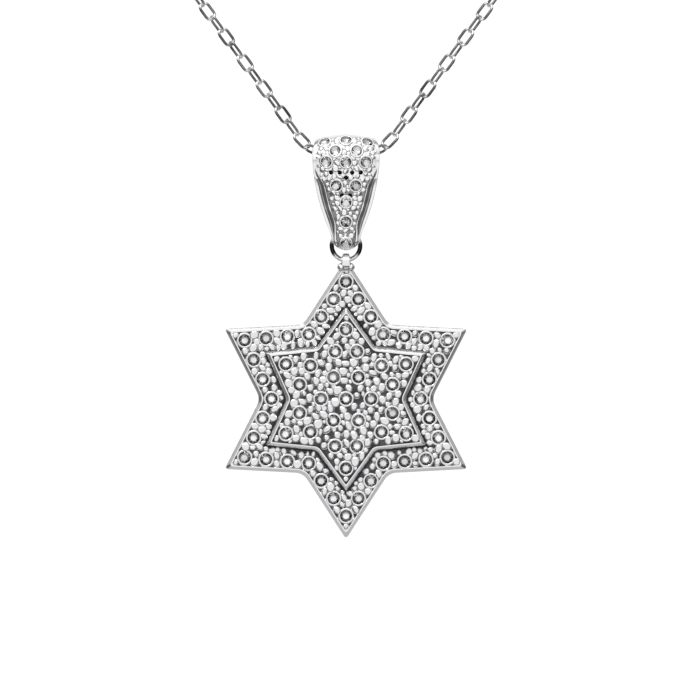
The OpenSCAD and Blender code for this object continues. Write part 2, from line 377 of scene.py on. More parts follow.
@dataclass(frozen=True)
class Finish:
    """A finish that makes its material once and puts it on pieces."""

    name: str

    def build(self, nodes: NodeTree, shader: Node) -> None:
        """Sets the shader and adds the finish's own nodes."""
        raise NotImplementedError

    def material(self) -> Material:
        """Finds the finish's material, and makes it the first time.

        Returns:
            The material.
        """
        found = bpy.data.materials.get(self.name)
        if found is None:
            found = bpy.data.materials.new(self.name)
            found.use_nodes = True
            self.build(NodeTree(found.node_tree), found.node_tree.nodes["Principled BSDF"])
        return found

    def put_on(self, piece: Object, *others: "Finish") -> None:
        """Makes this the piece's first finish.

        Args:
            piece: The piece.
            *others: The finishes after it, for its marked faces.
        """
        slots = piece.data.materials
        for i, finish in enumerate((self, *others)):
            if i == len(slots):
                slots.append(None)
            slots[i] = finish.material()


@dataclass(frozen=True)
class PolishedMetal(Finish):
    """White metal with a polish that is a little uneven, with hair-fine scratches."""

    colour: tuple[float, float, float] = (0.86, 0.86, 0.87)
    smoothest: float = 0.07
    roughest: float = 0.2
    patch_per_m: float = 900.0
    patch_detail: float = 3.0
    scratch_per_m: float = 5200.0
    scratch_depth: float = 0.05
    scratch_turn: tuple[float, float, float] = (0.3, 0.2, 0.6)
    scratch_stretch: tuple[float, float, float] = (1, 1, 0.12)
    relief: float = 0.02

    def build(self, nodes: NodeTree, shader: Node) -> None:
        """Sets the metal and varies its polish over the surface.

        Args:
            nodes: The material's nodes.
            shader: Its main shader.
        """
        place = nodes.get("ShaderNodeTexCoord", "Object")
        stretched = nodes.get("ShaderNodeMapping", "Vector", {
            "Vector": place, "Rotation": self.scratch_turn, "Scale": self.scratch_stretch})
        scratches = nodes.noise(self.scratch_per_m, place=stretched)
        patches = nodes.noise(self.patch_per_m, self.patch_detail, place)
        nodes.fill(shader, {
            "Base Color": (*self.colour, 1),
            "Metallic": 1,
            "Roughness": nodes.spread(patches, self.smoothest, self.roughest),
            "Normal": nodes.get("ShaderNodeBump", "Normal", {
                "Strength": self.scratch_depth, "Distance": self.relief * MM, "Height": scratches}),
        })


@dataclass(frozen=True)
class RecessedMetal(Finish):
    """Rough metal whose grey is painted shade at the bottom of the cuts between the grains and in holes and
    grooves, and painted light on the bail's upper field and seats; on the star's back and seat walls it is a
    plain satin tone.
    """

    palest: float = 0.3
    darkest: float = 0.0
    roughness: float = 0.45
    patch_per_m: float = 700.0

    def build(self, nodes: NodeTree, shader: Node) -> None:
        """Sets a rough metal whose painted grey differs from place to place."""
        grey = nodes.spread(nodes.noise(self.patch_per_m), self.darkest, self.palest)
        nodes.fill(shader, {"Metallic": 1, "Roughness": self.roughness, "Base Color": grey})


@dataclass(frozen=True)
class PaintedShadeMetal(Finish):
    """Metal painted dark where its note is low and bright where it is high: painted shade on the jump ring's
    two sides and on the links' straight sides.
    """

    dark: float = 0.16
    rubbed: float = 1.0
    uneven: float = 0.7
    roughness: float = 0.25
    patch_per_m: float = 450.0
    note_from: float = 0.15
    note_to: float = 0.85
    patch_from: float = 0.3
    patch_to: float = 0.7

    def build(self, nodes: NodeTree, shader: Node) -> None:
        """Mixes the two tones by the piece's note, unevenly from place to place.

        Args:
            nodes: The material's nodes.
            shader: Its main shader.
        """
        note = nodes.get("ShaderNodeAttribute", "Fac", attribute_name=SHADE_NOTE)
        patches = nodes.noise(self.patch_per_m)
        tone = nodes.spread(note, self.dark, self.rubbed, self.note_from, self.note_to, "SMOOTHSTEP")
        share = nodes.spread(patches, 1 - self.uneven, 1 + self.uneven, self.patch_from, self.patch_to)
        grey = nodes.math("MINIMUM", nodes.math("MULTIPLY", tone, share), 1.0)
        nodes.fill(shader, {"Metallic": 1, "Roughness": self.roughness, "Base Color": grey})


@dataclass(frozen=True)
class ClearStone(Finish):
    """Clear cut stone of high brilliance, some of them a little darker than others."""

    palest: float = 1.0
    darkest: float = 0.65
    refraction: float = 1.5
    clearest: float = 0.0
    dullest: float = 0.03
    patch_per_m: float = 520.0
    patch_from: float = 0.35
    patch_to: float = 0.6

    def build(self, nodes: NodeTree, shader: Node) -> None:
        """Sets a clear body and a nearly perfect polish.

        Args:
            nodes: The material's nodes.
            shader: Its main shader.
        """
        patches = nodes.noise(self.patch_per_m)
        nodes.fill(shader, {
            "Transmission Weight": 1,
            "IOR": self.refraction,
            "Roughness": nodes.spread(patches, self.clearest, self.dullest),
            "Base Color": nodes.spread(patches, self.darkest, self.palest, self.patch_from, self.patch_to),
        })


@dataclass(frozen=True)
class PaleFloor(Finish):
    """Plain pale studio floor."""

    colour: tuple[float, float, float] = (0.62, 0.62, 0.63)
    roughness: float = 0.9

    def build(self, nodes: NodeTree, shader: Node) -> None:
        """Sets a plain matt surface."""
        nodes.fill(shader, {"Base Color": (*self.colour, 1), "Roughness": self.roughness})


class GrowTree:
    """A Geometry Nodes tree that sets a shape on points, with named inputs, and is baked."""

    def __init__(self, name: str, inputs: dict[str, str]) -> None:
        """Starts a tree with a geometry going in and out.

        Args:
            name: The tree's name.
            inputs: The type of each named input.
        """
        self.tree = bpy.data.node_groups.new(name, "GeometryNodeTree")
        self.nodes = NodeTree(self.tree)
        sockets = self.tree.interface
        sockets.new_socket("Geometry", in_out="OUTPUT", socket_type="NodeSocketGeometry")
        self.sockets: dict[str, str] = {}
        for key, kind in (("Geometry", "Geometry"), *inputs.items()):
            made = sockets.new_socket(key, in_out="INPUT", socket_type=f"NodeSocket{kind}")
            self.sockets[key] = made.identifier
        self.given = self.tree.nodes.new("NodeGroupInput").outputs

    def end(self, points: NodeSocket, turn: NodeSocket, **more: NodeSocket) -> "GrowTree":
        """Sets the shape on points as real faces with their finish, and ends the tree.

        Args:
            points: Where the shape goes.
            turn: How it is turned.
            **more: Other inputs of the node that sets it.

        Returns:
            The whole tree.
        """
        shape = self.nodes.get("GeometryNodeObjectInfo", "Geometry", {"Object": self.given["Shape"]})
        put = self.nodes.get("GeometryNodeInstanceOnPoints", 0,
                             {"Points": points, "Instance": shape, "Rotation": turn, **more})
        real = self.nodes.get("GeometryNodeRealizeInstances", 0, {0: put})
        dressed = self.nodes.get("GeometryNodeSetMaterial", 0,
                                 {"Geometry": real, "Material": self.given["Finish"]})
        self.nodes.fill(self.tree.nodes.new("NodeGroupOutput"), {0: dressed})
        return self

    def grow(self, base: Object, shape: Object, finish: Finish, **values: object) -> None:
        """Runs the tree on an object.

        Args:
            base: The object whose mesh goes in, and which keeps the result as a plain mesh.
            shape: The shape that is set, which is used up.
            finish: The finish of the result.
            **values: The value of each other input.
        """
        step = base.modifiers.new(self.tree.name, "NODES")
        step.node_group = self.tree
        for name, value in {"Shape": shape, "Finish": finish.material(), **values}.items():
            step[self.sockets[name]] = value
        bake(base)
        bpy.data.objects.remove(shape)


def spot_tree() -> GrowTree:
    """Makes the tree that sets one shape on every point, turned and sized as the point says.

    Returns:
        The tree.
    """
    grow = GrowTree("set_on_spots", {"Shape": "Object", "Spin": "Float", "Tilt": "Float",
                                     "Stretch": "Float", "Seed": "Int", "Finish": "Material"})
    nodes, given = grow.nodes, grow.given
    facing, size = (nodes.get("GeometryNodeInputNamedAttribute", "Attribute", {"Name": name}, data_type=kind)
                    for name, kind in (("facing", "FLOAT_VECTOR"), ("size", "FLOAT")))
    chance = nodes.get("FunctionNodeRandomValue", 1, {"Seed": given["Seed"]}, data_type="FLOAT")
    lean, uneven = (nodes.get("FunctionNodeRandomValue", 0, {0: (-1, -1, 0), 1: (1, 1, 0), "Seed": seed},
                              data_type="FLOAT_VECTOR")
                    for seed in (given["Seed"], nodes.math("ADD", given["Seed"], 1.0)))
    about = nodes.get("ShaderNodeCombineXYZ", 0, {"Z": nodes.math("MULTIPLY", chance, given["Spin"])})
    spin = nodes.vector("ADD", nodes.vector("SCALE", lean, given["Tilt"]), about)
    turn = nodes.get("FunctionNodeEulerToRotation", 0, {"Euler": facing})
    wide = nodes.vector("ADD", nodes.vector("SCALE", uneven, given["Stretch"]), (1, 1, 1))
    return grow.end(given["Geometry"], nodes.turned(turn, spin), Scale=nodes.vector("SCALE", wide, size))


def link_tree() -> GrowTree:
    """Makes the tree that runs links along a route, each a quarter turn from the last.

    Returns:
        The tree.
    """
    grow = GrowTree("links_on_route", {"Shape": "Object", "Pitch": "Float", "Side": "Vector",
                                       "Finish": "Material"})
    nodes, given = grow.nodes, grow.given
    curve = nodes.get("GeometryNodeMeshToCurve", 0, {"Mesh": given["Geometry"]})
    even = nodes.get("GeometryNodeResampleCurve", 0, {"Curve": curve, "Length": given["Pitch"]},
                     mode="LENGTH")
    tangent = nodes.get("GeometryNodeInputTangent", 0)
    along = nodes.get("FunctionNodeAlignRotationToVector", 0, {"Vector": tangent}, axis="Z")
    across = nodes.get("FunctionNodeAlignRotationToVector", 0, {"Rotation": along, "Vector": given["Side"]},
                       axis="X", pivot_axis="Z")
    odd = nodes.math("MODULO", nodes.get("GeometryNodeInputIndex", 0), 2.0)
    spin = nodes.get("ShaderNodeCombineXYZ", 0, {"Z": nodes.math("MULTIPLY", odd, math.pi / 2)})
    return grow.end(even, nodes.turned(across, spin))


@dataclass(frozen=True)
class Spot:
    """A place in a field of stones: u across it and v up or along it, in mm."""

    u: float
    v: float
    size: float = 1.0

    def to(self, other: "Spot") -> float:
        """Returns the distance to another spot."""
        return math.hypot(self.u - other.u, self.v - other.v)


Surface = Callable[[Spot, float], tuple[Vector, Euler]]


@dataclass(frozen=True)
class Brilliant:
    """Round brilliant cut, as shares of its radius."""

    table: float = 0.5
    crown: float = 0.22
    star_reach: float = 0.8
    girdle: float = 0.05
    pavilion: float = 0.67
    half_reach: float = 0.5
    culet: float = 0.3
    mains: int = 8

    def template(self) -> Object:
        """Makes one stone of radius 1 mm, its table towards +z and its widest line at 0.

        Returns:
            The stone.
        """
        n = self.mains
        kite = math.cos(math.radians(180 / n))
        star_z = self.crown / (1 - self.table) * (1 - self.star_reach * kite)
        half_z, culet_z = (-self.girdle - self.pavilion * (1 - reach)
                           for reach in (self.half_reach * kite, self.culet))
        levels = (
            (n, self.table, 0, self.crown),
            (n, self.star_reach, 0.5, star_z),
            (2 * n, 1, 0, 0),
            (2 * n, 1, 0, -self.girdle),
            (n, self.half_reach, 0.5, half_z),
            (n, self.culet, 0, culet_z),
        )
        points = [(*polar(radius, (i + turn) * 360 / count), z)
                  for count, radius, turn, z in levels for i in range(count)]
        star, top, low, half, culet = n, 2 * n, 4 * n, 6 * n, 7 * n
        faces: list[Sequence[int]] = [range(n), range(culet, culet + n)]
        for i in range(n):
            k, back = (i + 1) % n, (i - 1) % n
            g, mid, g2 = 2 * i, 2 * i + 1, 2 * k
            faces += [
                (i, star + i, k),
                (i, star + back, top + g, star + i),
                (star + i, top + g, top + mid),
                (star + i, top + mid, top + g2),
                (low + g, half + i, low + mid),
                (low + mid, half + i, low + g2),
                (culet + i, half + i, low + g, half + back),
                (culet + i, culet + k, half + i),
            ]
        faces += [(top + i, low + i, low + (i + 1) % (2 * n), top + (i + 1) % (2 * n)) for i in range(2 * n)]
        return solid("brilliant_shape", points, faces)


@dataclass(frozen=True)
class Grain:
    """Small round-topped grain of metal that holds a stone, as shares of its radius."""

    sides: int = 12
    rings: int = 4
    height: float = 0.42
    fullness: float = 0.6
    foot: float = 0.5

    def template(self) -> Object:
        """Makes one grain of radius 1 mm, standing on z = 0, with its foot below.

        Returns:
            The grain.
        """
        n = self.sides
        slopes = [math.radians(90 * ring / self.rings) for ring in range(self.rings)]
        levels = [(math.cos(a) ** self.fullness, self.height * math.sin(a)) for a in slopes]
        levels.append((1, -self.foot))
        points = [(*polar(wide, i * 360 / n), z) for wide, z in levels for i in range(n)]
        points.append((0, 0, self.height))
        top, low, peak = (self.rings - 1) * n, self.rings * n, (self.rings + 1) * n
        faces: list[Sequence[int]] = []
        for i in range(n):
            k = (i + 1) % n
            faces += [(a + i, a + k, a + n + k, a + n + i) for a in range(0, top, n)]
            faces += [(top + i, top + k, peak), (low + i, low + k, k, i)]
        faces.append(range(low + n - 1, low - 1, -1))
        return solid("grain_shape", points, faces, smooth=True)


@dataclass(frozen=True)
class Seat:
    """The cut that a stone sits in, in mm, with its corners off the field's lines of symmetry."""

    gap: float = 0.02
    cone_share: float = 1.1
    hole_r: float = 0.3
    sides: int = 24
    twist: float = 0.37
    over: float = 0.6

    def profile(self, stone_r: float, deep: float) -> list[tuple[float, float]]:
        """Lists the cut's rings.

        Args:
            stone_r: Radius of the stone, in mm.
            deep: Depth of the hole behind it, in mm.

        Returns:
            The radius of each ring and its height over the stone's widest line.
        """
        wide = stone_r + self.gap
        return [
            (self.hole_r, -deep),
            (self.hole_r, -stone_r * self.cone_share),
            (wide, -stone_r * Brilliant().girdle),
            (wide, self.over),
        ]


@dataclass(frozen=True)
class Collar:
    """Thin rounded lip of metal round a stone, its corners as shares of the stone's radius."""

    section: tuple[tuple[float, float], ...] = (
        (1.01, -0.5), (1.01, -0.085), (0.93, -0.05), (0.96, 0.02), (1.03, 0.02), (1.18, 0.02),
        (1.26, -0.05), (1.32, -0.22), (1.32, -0.5),
    )
    sides: int = 28

    def template(self) -> Object:
        """Returns the lip of a stone of radius 1 mm, its top near z = 0."""
        return wound("collar_shape", [[(*polar(r, i * 360 / self.sides), z) for r, z in self.section]
                                      for i in range(self.sides)], smooth=True)


def set_on(name: str, surface: Surface, spots: Sequence[Spot], lift: float, shape: Object,
           finish: Finish, spin: float = 0.0, tilt: float = 0.0, stretch: float = 0.0) -> Object:
    """Sets a shape on every spot of a surface, as one mesh.

    Args:
        name: The new piece's name.
        surface: Gives the place and the turn of a spot, at a height over the metal.
        spots: Where the shapes go, and how large.
        lift: Height over the metal, in mm.
        shape: The shape that is set, which is used up.
        finish: The finish of the piece.
        spin: Largest chance turn of a shape about its own axis, in radians.
        tilt: Largest chance tilt of a shape off the surface, in radians.
        stretch: Largest chance share that a shape is wider or narrower.

    Returns:
        The new piece.
    """
    placed = [surface(s, lift) for s in spots]
    base = mesh_object(name, [p for p, _ in placed])
    facing = base.data.attributes.new("facing", "FLOAT_VECTOR", "POINT")
    facing.data.foreach_set("vector", [angle for _, turn in placed for angle in turn])
    size = base.data.attributes.new("size", "FLOAT", "POINT")
    size.data.foreach_set("value", [s.size for s in spots])
    spot_tree().grow(base, shape, finish, Spin=spin, Tilt=tilt, Stretch=stretch, Seed=CHANCE_SEED)
    return base


def grain_spots(stones: Sequence[Spot], room: Callable[[Spot], float], reach: float, stone_clear: float,
                smallest: float, largest: float, overlap: float, turns: int = 1) -> list[Spot]:
    """Fills the gaps of a field with grains, the widest gap beside a stone first.

    Args:
        stones: The stones of the field.
        room: Gives the distance from a spot to the field's edge, in mm.
        reach: Distance from the field's middle to its farthest point, in mm.
        stone_clear: Distance that a grain keeps from a stone's middle, in mm.
        smallest: Smallest radius of a grain, in mm.
        largest: Largest radius of a grain, in mm.
        overlap: Share of a grain's radius that its neighbours keep off.
        turns: How many times the field repeats round its middle.

    Returns:
        The grains' spots, each with its radius as its size.
    """
    rows = range(int(-reach / GRAIN_GRID), int(reach / GRAIN_GRID) + 1)
    free: list[list] = []
    for spot in (Spot(i * GRAIN_GRID, j * GRAIN_GRID) for i in rows for j in rows):
        angle = math.degrees(math.atan2(spot.v, spot.u))
        if (turns == 1 or 90 - 180 / turns <= angle < 90 + 180 / turns) and (space := room(spot)) > 0:
            near = min(spot.to(s) for s in stones)
            space = min(space, near - stone_clear)
            if space > smallest:
                free.append([space, near, spot])
    found: list[Spot] = []
    while free:
        space, _, best = max(free, key=lambda c: (
            round(min(c[0], largest), 2), -round(c[1], 3), -abs(c[2].u)))
        size = min(space, largest)
        copies = []
        for k in range(turns):
            p = Vector((best.u, best.v))
            p.rotate(Matrix.Rotation(math.tau * k / turns, 2))
            copies.append(Spot(p.x, p.y, size))
        found += copies
        for c in free:
            c[0] = min(c[0], min(c[2].to(g) for g in copies) - size * overlap)
        free = [c for c in free if c[0] > smallest]
    return found


@dataclass(frozen=True)
class Pave:
    """How stones of one size are set close together, in mm, shares and radians."""

    stone_r: float
    clear: float
    least: float
    most: float
    overlap: float
    drop: float
    sink: float = 0.06
    stone_tilt: float = 0.16
    grain_lift: float = 0.05
    grain_tilt: float = 0.24
    grain_stretch: float = 0.26

    def build(self, name: str, surface: Surface, stones: Sequence[Spot], room: Callable[[Spot], float],
              reach: float, turns: int, stone: Finish, metal: Finish) -> list[Object]:
        """Sets a field's stones, the lips round them and the grains between them.

        Args:
            name: First word of the pieces' names.
            surface: The field's surface.
            stones: The stones, each with its radius as its size.
            room: Gives the distance from a spot to the field's edge, in mm.
            reach: Distance from the field's middle to its farthest point, in mm.
            turns: How many times the field repeats round its middle.
            stone: The stones' finish.
            metal: The finish of lips and grains.

        Returns:
            The stones, the lips and the grains, each as one piece.
        """
        grains = grain_spots(stones, room, reach, self.clear, self.least, self.most, self.overlap, turns)
        return [
            set_on(f"{name}_brilliants", surface, stones, -self.sink, Brilliant().template(), stone,
                   math.tau, self.stone_tilt),
            set_on(f"{name}_lips", surface, stones, 0, Collar().template(), metal),
            set_on(f"{name}_grains", surface, grains, self.grain_lift - self.drop, Grain().template(), metal,
                   math.tau, self.grain_tilt, self.grain_stretch),
        ]


def seat_cutter(surface: Surface, spots: Sequence[Spot], seat: Seat, deep: float, lift: float,
                look: Look) -> Object:
    """Makes one tool that cuts the seats of all the stones of a field.

    Args:
        surface: Gives the place and the turn of a spot.
        spots: Where the stones go, each with its stone's radius as its size.
        seat: The form of the cut.
        deep: Depth of the hole behind a stone, in mm.
        lift: Height of the stones' widest line over the metal, in mm.
        look: The finish that the seats' walls get.

    Returns:
        The tool, as one mesh of closed solids. Recessed seats have polished bottoms.
    """
    points: list[Vector] = []
    faces: list[Sequence[int]] = []
    n = seat.sides
    for spot in spots:
        rings = seat.profile(spot.size, deep)
        place, turn = surface(spot, lift)
        faces += stacked_faces(n, len(rings), len(points))
        for radius, height in rings:
            for i in range(n):
                point = Vector((*polar(radius, (i + seat.twist) * 360 / n), height))
                point.rotate(turn)
                points.append(place + point)
    tool = mesh_object("seat_tool", points, faces)
    for f in tool.data.polygons:
        f.material_index = Look.POLISHED if len(f.vertices) == n and look == Look.RECESSED else look
    return tool


@dataclass
class Stars:
    """Sizes of the star's outlines, in mm, and the points on them."""

    tip: float
    notch: float
    blunt: float
    ease: float
    top: float
    ease_steps: int = 5
    tip_steps: int = 4

    def half(self) -> float:
        """Returns half the angle at a point of the star, in radians."""
        turn = math.radians(ARM_TURN / 2)
        return math.atan2(self.notch * math.sin(turn), self.tip - self.notch * math.cos(turn))

    def outline(self, inset: float) -> list[Vector]:
        """Draws the outline, drawn in on every edge.

        Args:
            inset: How far it is drawn in, in mm.

        Returns:
            The outline's points, from the top point round to the left.
        """
        half = self.half()
        tip = self.tip - inset / math.sin(half)
        notch = self.notch - inset / math.sin(math.radians(ARM_TURN / 2) + half)
        points: list[Vector] = []
        for k in range(ARMS):
            a = 90 + k * ARM_TURN
            t, t2 = polar(tip, a), polar(tip, a + ARM_TURN)
            n = polar(notch, a + ARM_TURN / 2)
            back = (polar(notch, a - ARM_TURN / 2) - t).normalized()
            ahead = (n - t).normalized()
            trim = self.blunt / 2 / math.sin(half)
            if k == 0:
                trim = max(trim, (tip - self.top + inset / 2) / math.cos(half))
            ends = n - ahead * self.ease, n + (t2 - n).normalized() * self.ease
            sides = t + back * trim, t + ahead * trim
            peak = t if k else sides[0].lerp(sides[1], 0.5)
            for (start, end), corner, steps in ((sides, peak, self.tip_steps), (ends, n, self.ease_steps)):
                points += [bend(start, corner, end, s / steps) for s in range(steps + 1)]
        return points

    def depth(self, spot: Spot) -> float:
        """Works out how far a spot lies inside the star's edge.

        Args:
            spot: The spot, from the star's middle.

        Returns:
            The distance in mm, less than 0 outside the star.
        """
        turn = math.degrees(math.atan2(spot.v, spot.u)) - 90
        turn = abs((turn + ARM_TURN / 2) % ARM_TURN - ARM_TURN / 2)
        here = polar(math.hypot(spot.u, spot.v), turn)
        t, n = Vector((self.tip, 0)), polar(self.notch, ARM_TURN / 2)
        edge = (n - t).normalized()
        return edge.x * (here.y - t.y) - edge.y * (here.x - t.x)


def stack(name: str, rings: Sequence[tuple[Sequence[Vector], float]],
          place: Callable[[float, float, float], Vector], marks: dict[int, Look]) -> Object:
    """Makes a solid through rings of as many points, closed by fans at both ends.

    Args:
        name: The new object's name.
        rings: Each ring's outline and its height.
        place: Gives a point's place from x, y and the height.
        marks: The finish of the wall from a ring to the next, by the ring's number. The fan at the
            start is -1, and the one at the end has the last ring's number.

    Returns:
        The solid.
    """
    n, walls = len(rings[0][0]), len(rings) - 1
    points = [place(p.x, p.y, h) for outline, h in rings for p in outline]
    points += [place(0, 0, rings[0][1]), place(0, 0, rings[-1][1])]
    last, middle = walls * n, len(rings) * n
    faces: list[Sequence[int]] = []
    for j in range(n):
        k = (j + 1) % n
        faces += [(a + j, a + k, a + n + k, a + n + j) for a in range(0, last, n)]
        faces += [(middle, k, j), (middle + 1, last + j, last + k)]
    made = solid(name, points, faces)
    numbers = [*range(walls), -1, walls]
    for i, f in enumerate(made.data.polygons):
        f.material_index = marks.get(numbers[i % len(numbers)], Look.POLISHED)
    return made


@dataclass
class StarSetting:
    """The star: its plate, the raised star on it, the top loop, the stones and the grains."""

    outer: Stars = field(default_factory=lambda: Stars(12.35, 7.55, 0.4, 0.7, 11.37))
    raised: Stars = field(default_factory=lambda: Stars(8.1, 5.2, 0.16, 0.35, 99))
    pave: Pave = Pave(0.56, 0.57, 0.22, 0.42, 0.78, 0.16)
    plate_t: float = 1.2
    rise: float = 0.9
    back_share: float = 0.44
    rim_w: float = 0.24
    rim_h: float = 0.28
    slope_w: float = 0.2
    slope_h: float = 0.25
    wall_gap: float = 0.1
    joint_w: float = 0.17
    joint_depth: float = 0.16
    recess_wall: float = 0.7
    recess_depth: float = 0.9
    edge: float = 0.05
    lip_w: float = 0.12
    lit_from: float = 0.85
    lit_lean: float = 0.55
    outer_tip_r: float = 10.3
    outer_notch_r: float = 6.55
    ring_r: float = 2.2
    pair_r: float = 4.27
    pair_turn: float = 13
    tip_r: float = 6.1
    loop_up: float = 12.0
    loop_hole_r: float = 0.53
    loop_t: float = 0.3
    loop_w: float = 0.8
    loop_edge: float = 0.075
    loop_taper: float = 0.22
    loop_turns: int = 32
    foot_rows: tuple[tuple[float, float], ...] = ((0.1, 0.4), (-0.15, 0.62), (-0.7, 0.92))
    foot_middle: float = 0.3
    foot_back: tuple[tuple[float, float], ...] = ((0.1, 0.1), (0, 0.25))
    foot_front: tuple[tuple[float, float], ...] = ((0, 0.3), (0.1, 0.12))
    bead_r: float = 0.36
    bead_out: float = 0.42
    bead_up: float = 11.6
    bead_front: float = 0.42
    bead_detail: int = 3
    seat_past: float = 1.0
    sharp_degrees: float = 25
    metal: Finish = PolishedMetal("star_white_metal", (0.8, 0.8, 0.81), scratch_depth=1.0)
    outer_metal: Finish = PolishedMetal("star_outer_grain_metal", (0.77, 0.77, 0.78), scratch_depth=0.4)
    raised_metal: Finish = PolishedMetal("star_raised_grain_metal", (0.76, 0.76, 0.77), scratch_depth=0.4)
    # Painted shade: near-black metal on the field floors between the grains.
    recess: Finish = RecessedMetal("star_cut_metal", 0.16, 0.0)
    # A satin tone on the back and the seat walls, and painted light on the groove over the raised star's
    # upper edges.
    bright: Finish = RecessedMetal("star_satin_metal", 0.5, 0.25)
    # Painted shadow: a dark line in the groove at the raised star's foot.
    joint: Finish = RecessedMetal("star_joint_metal", 0.12, 0.0)
    stone: Finish = ClearStone("star_clear_stone")

    def __post_init__(self) -> None:
        """Works out where the star hangs and its heights towards the viewer."""
        self.hang_y = joint_place("star_swing").y
        self.centre_z = middle_of("inner_stones").z
        self.back = -(self.plate_t + self.rise) * self.back_share
        self.front = self.back + self.plate_t
        self.raised_front = self.front + self.rise

    def place(self, x: float, y: float, height: float) -> Vector:
        """Returns the place in the frame of a point drawn from the front, in mm."""
        return Vector((x, self.hang_y - height, self.centre_z + y))

    def surface(self, level: float) -> Surface:
        """Returns the flat surface at a height towards the viewer."""
        turn = Euler((math.pi / 2, 0, 0))
        return lambda spot, lift: (self.place(spot.u, spot.v, level + lift), turn)

    def faces_up(self, point: Vector) -> bool:
        """Tells whether a point beside the raised star lies over one of its level upper edges.

        Args:
            point: The point, in mm.

        Returns:
            Whether it does.
        """
        x, y = abs(point.x), point.z - self.centre_z
        edge_y = self.raised.notch * math.sin(math.radians(ARM_TURN))
        return y > edge_y * self.lit_from and x > y * self.lit_lean

    def stones_at(self, places: Sequence[Vector]) -> list[Spot]:
        """Returns a stone at each of some places."""
        return [Spot(p.x, p.y, self.pave.stone_r) for p in places]

    def outer_spots(self) -> list[Spot]:
        """Places the stones round the outer plate.

        Returns:
            The stones, from the top point round to the left.
        """
        found: list[Vector] = []
        for a in (90 + k * ARM_TURN for k in range(ARMS)):
            t, t2 = polar(self.outer_tip_r, a), polar(self.outer_tip_r, a + ARM_TURN)
            n = polar(self.outer_notch_r, a + ARM_TURN / 2)
            found += [t, t.lerp(n, 1 / 3), t.lerp(n, 2 / 3), n, n.lerp(t2, 1 / 3), n.lerp(t2, 2 / 3)]
        return self.stones_at(found)

    def raised_spots(self) -> list[Spot]:
        """Places the stones of the raised star.

        Returns:
            The stones, the middle one first.
        """
        found = [Vector((0, 0))]
        for a in (90 + k * ARM_TURN for k in range(ARMS)):
            found += [polar(self.ring_r, a + ARM_TURN / 2), polar(self.pair_r, a - self.pair_turn),
                      polar(self.pair_r, a + self.pair_turn), polar(self.tip_r, a)]
        return self.stones_at(found)

    def body(self) -> Object:
        """Makes the star's metal with its seats cut, without loop and grains.

        Returns:
            The metal.
        """
        outer, raised, edge, drop = self.outer.outline, self.raised.outline, self.edge, self.pave.drop
        recess_top, joint_foot = self.back + self.recess_depth, self.front - drop - self.joint_depth
        rings = [
            (raised(self.recess_wall + edge), recess_top),
            (raised(self.recess_wall), recess_top - edge),
            (raised(self.recess_wall), self.back + edge),
            (raised(self.recess_wall - edge), self.back),
            (outer(edge), self.back),
            (outer(0), self.back + edge),
        ]
        joint = [
            (raised(-self.joint_w), self.front - drop),
            (raised(edge - self.joint_w), joint_foot),
            (raised(0), joint_foot),
        ]
        for foot, outline, top, side_h, side_w in (
                ([], outer, self.front, self.rim_h, self.rim_w),
                (joint, raised, self.raised_front, self.slope_h, self.slope_w)):
            rings += [
                *foot,
                (outline(0), top - side_h - edge),
                (outline(edge / 2), top - side_h + edge / 2),
                (outline(side_w - edge / 2), top - edge),
                (outline(side_w + edge / 2), top),
                (outline(side_w + self.lip_w), top),
                (outline(side_w + self.lip_w + drop * FIELD_SLOPE), top - drop),
            ]
        # The field floors take painted shade, the groove at the raised star's foot a painted shadow, and the
        # back a satin tone.
        back_level, outer_field, last = 3, 11, len(rings) - 1
        marks = {-1: Look.BRIGHT, back_level: Look.BRIGHT, outer_field: Look.RECESSED,
                 outer_field + 1: Look.DRILLED, outer_field + 2: Look.DRILLED,
                 last - 1: Look.RECESSED, last: Look.RECESSED}
        made = stack("star_body", rings, self.place, marks)
        # Painted light: the groove over the raised star's upper edges takes the satin metal in place of its
        # painted shadow.
        for f in made.data.polygons:
            if f.material_index == Look.DRILLED and self.faces_up(f.center / MM):
                f.material_index = Look.BRIGHT
        through = self.plate_t + self.rise + self.seat_past
        for level, spots in ((self.front, self.outer_spots()), (self.raised_front, self.raised_spots())):
            cut(made, seat_cutter(self.surface(level), spots, Seat(), through, -self.pave.sink, Look.BRIGHT))
        return made

    def loop(self) -> Object:
        """Makes the top loop, its hole from side to side, wider towards its foot.

        Returns:
            The loop.
        """
        edge, low, high = self.loop_edge, self.loop_hole_r, self.loop_hole_r + self.loop_t
        sections = []
        for i in range(self.loop_turns):
            p = polar(1, i * 360 / self.loop_turns)
            half = self.loop_w / 2 * (1 - self.loop_taper * p.y)
            corners = [(half - edge, low), (half, low + edge), (half, high - edge), (half - edge, high),
                       (edge - half, high), (-half, high - edge), (-half, low + edge), (edge - half, low)]
            sections.append([self.place(x, self.loop_up + r * p.y, r * p.x) for x, r in corners])
        return wound("top_loop", sections)

    def beads(self) -> list[Object]:
        """Makes the two beads of solder beside the loop's foot.

        Returns:
            The beads.
        """
        made = [mesh_object("bead", ()) for _ in range(2)]
        for bead, x in zip(made, (-self.bead_out, self.bead_out)):
            with mesh_work(bead) as work:
                bmesh.ops.create_icosphere(work, subdivisions=self.bead_detail, radius=self.bead_r * MM)
                centre = self.place(x, self.bead_up, self.bead_front)
                bmesh.ops.translate(work, verts=work.verts, vec=centre * MM)
        return made

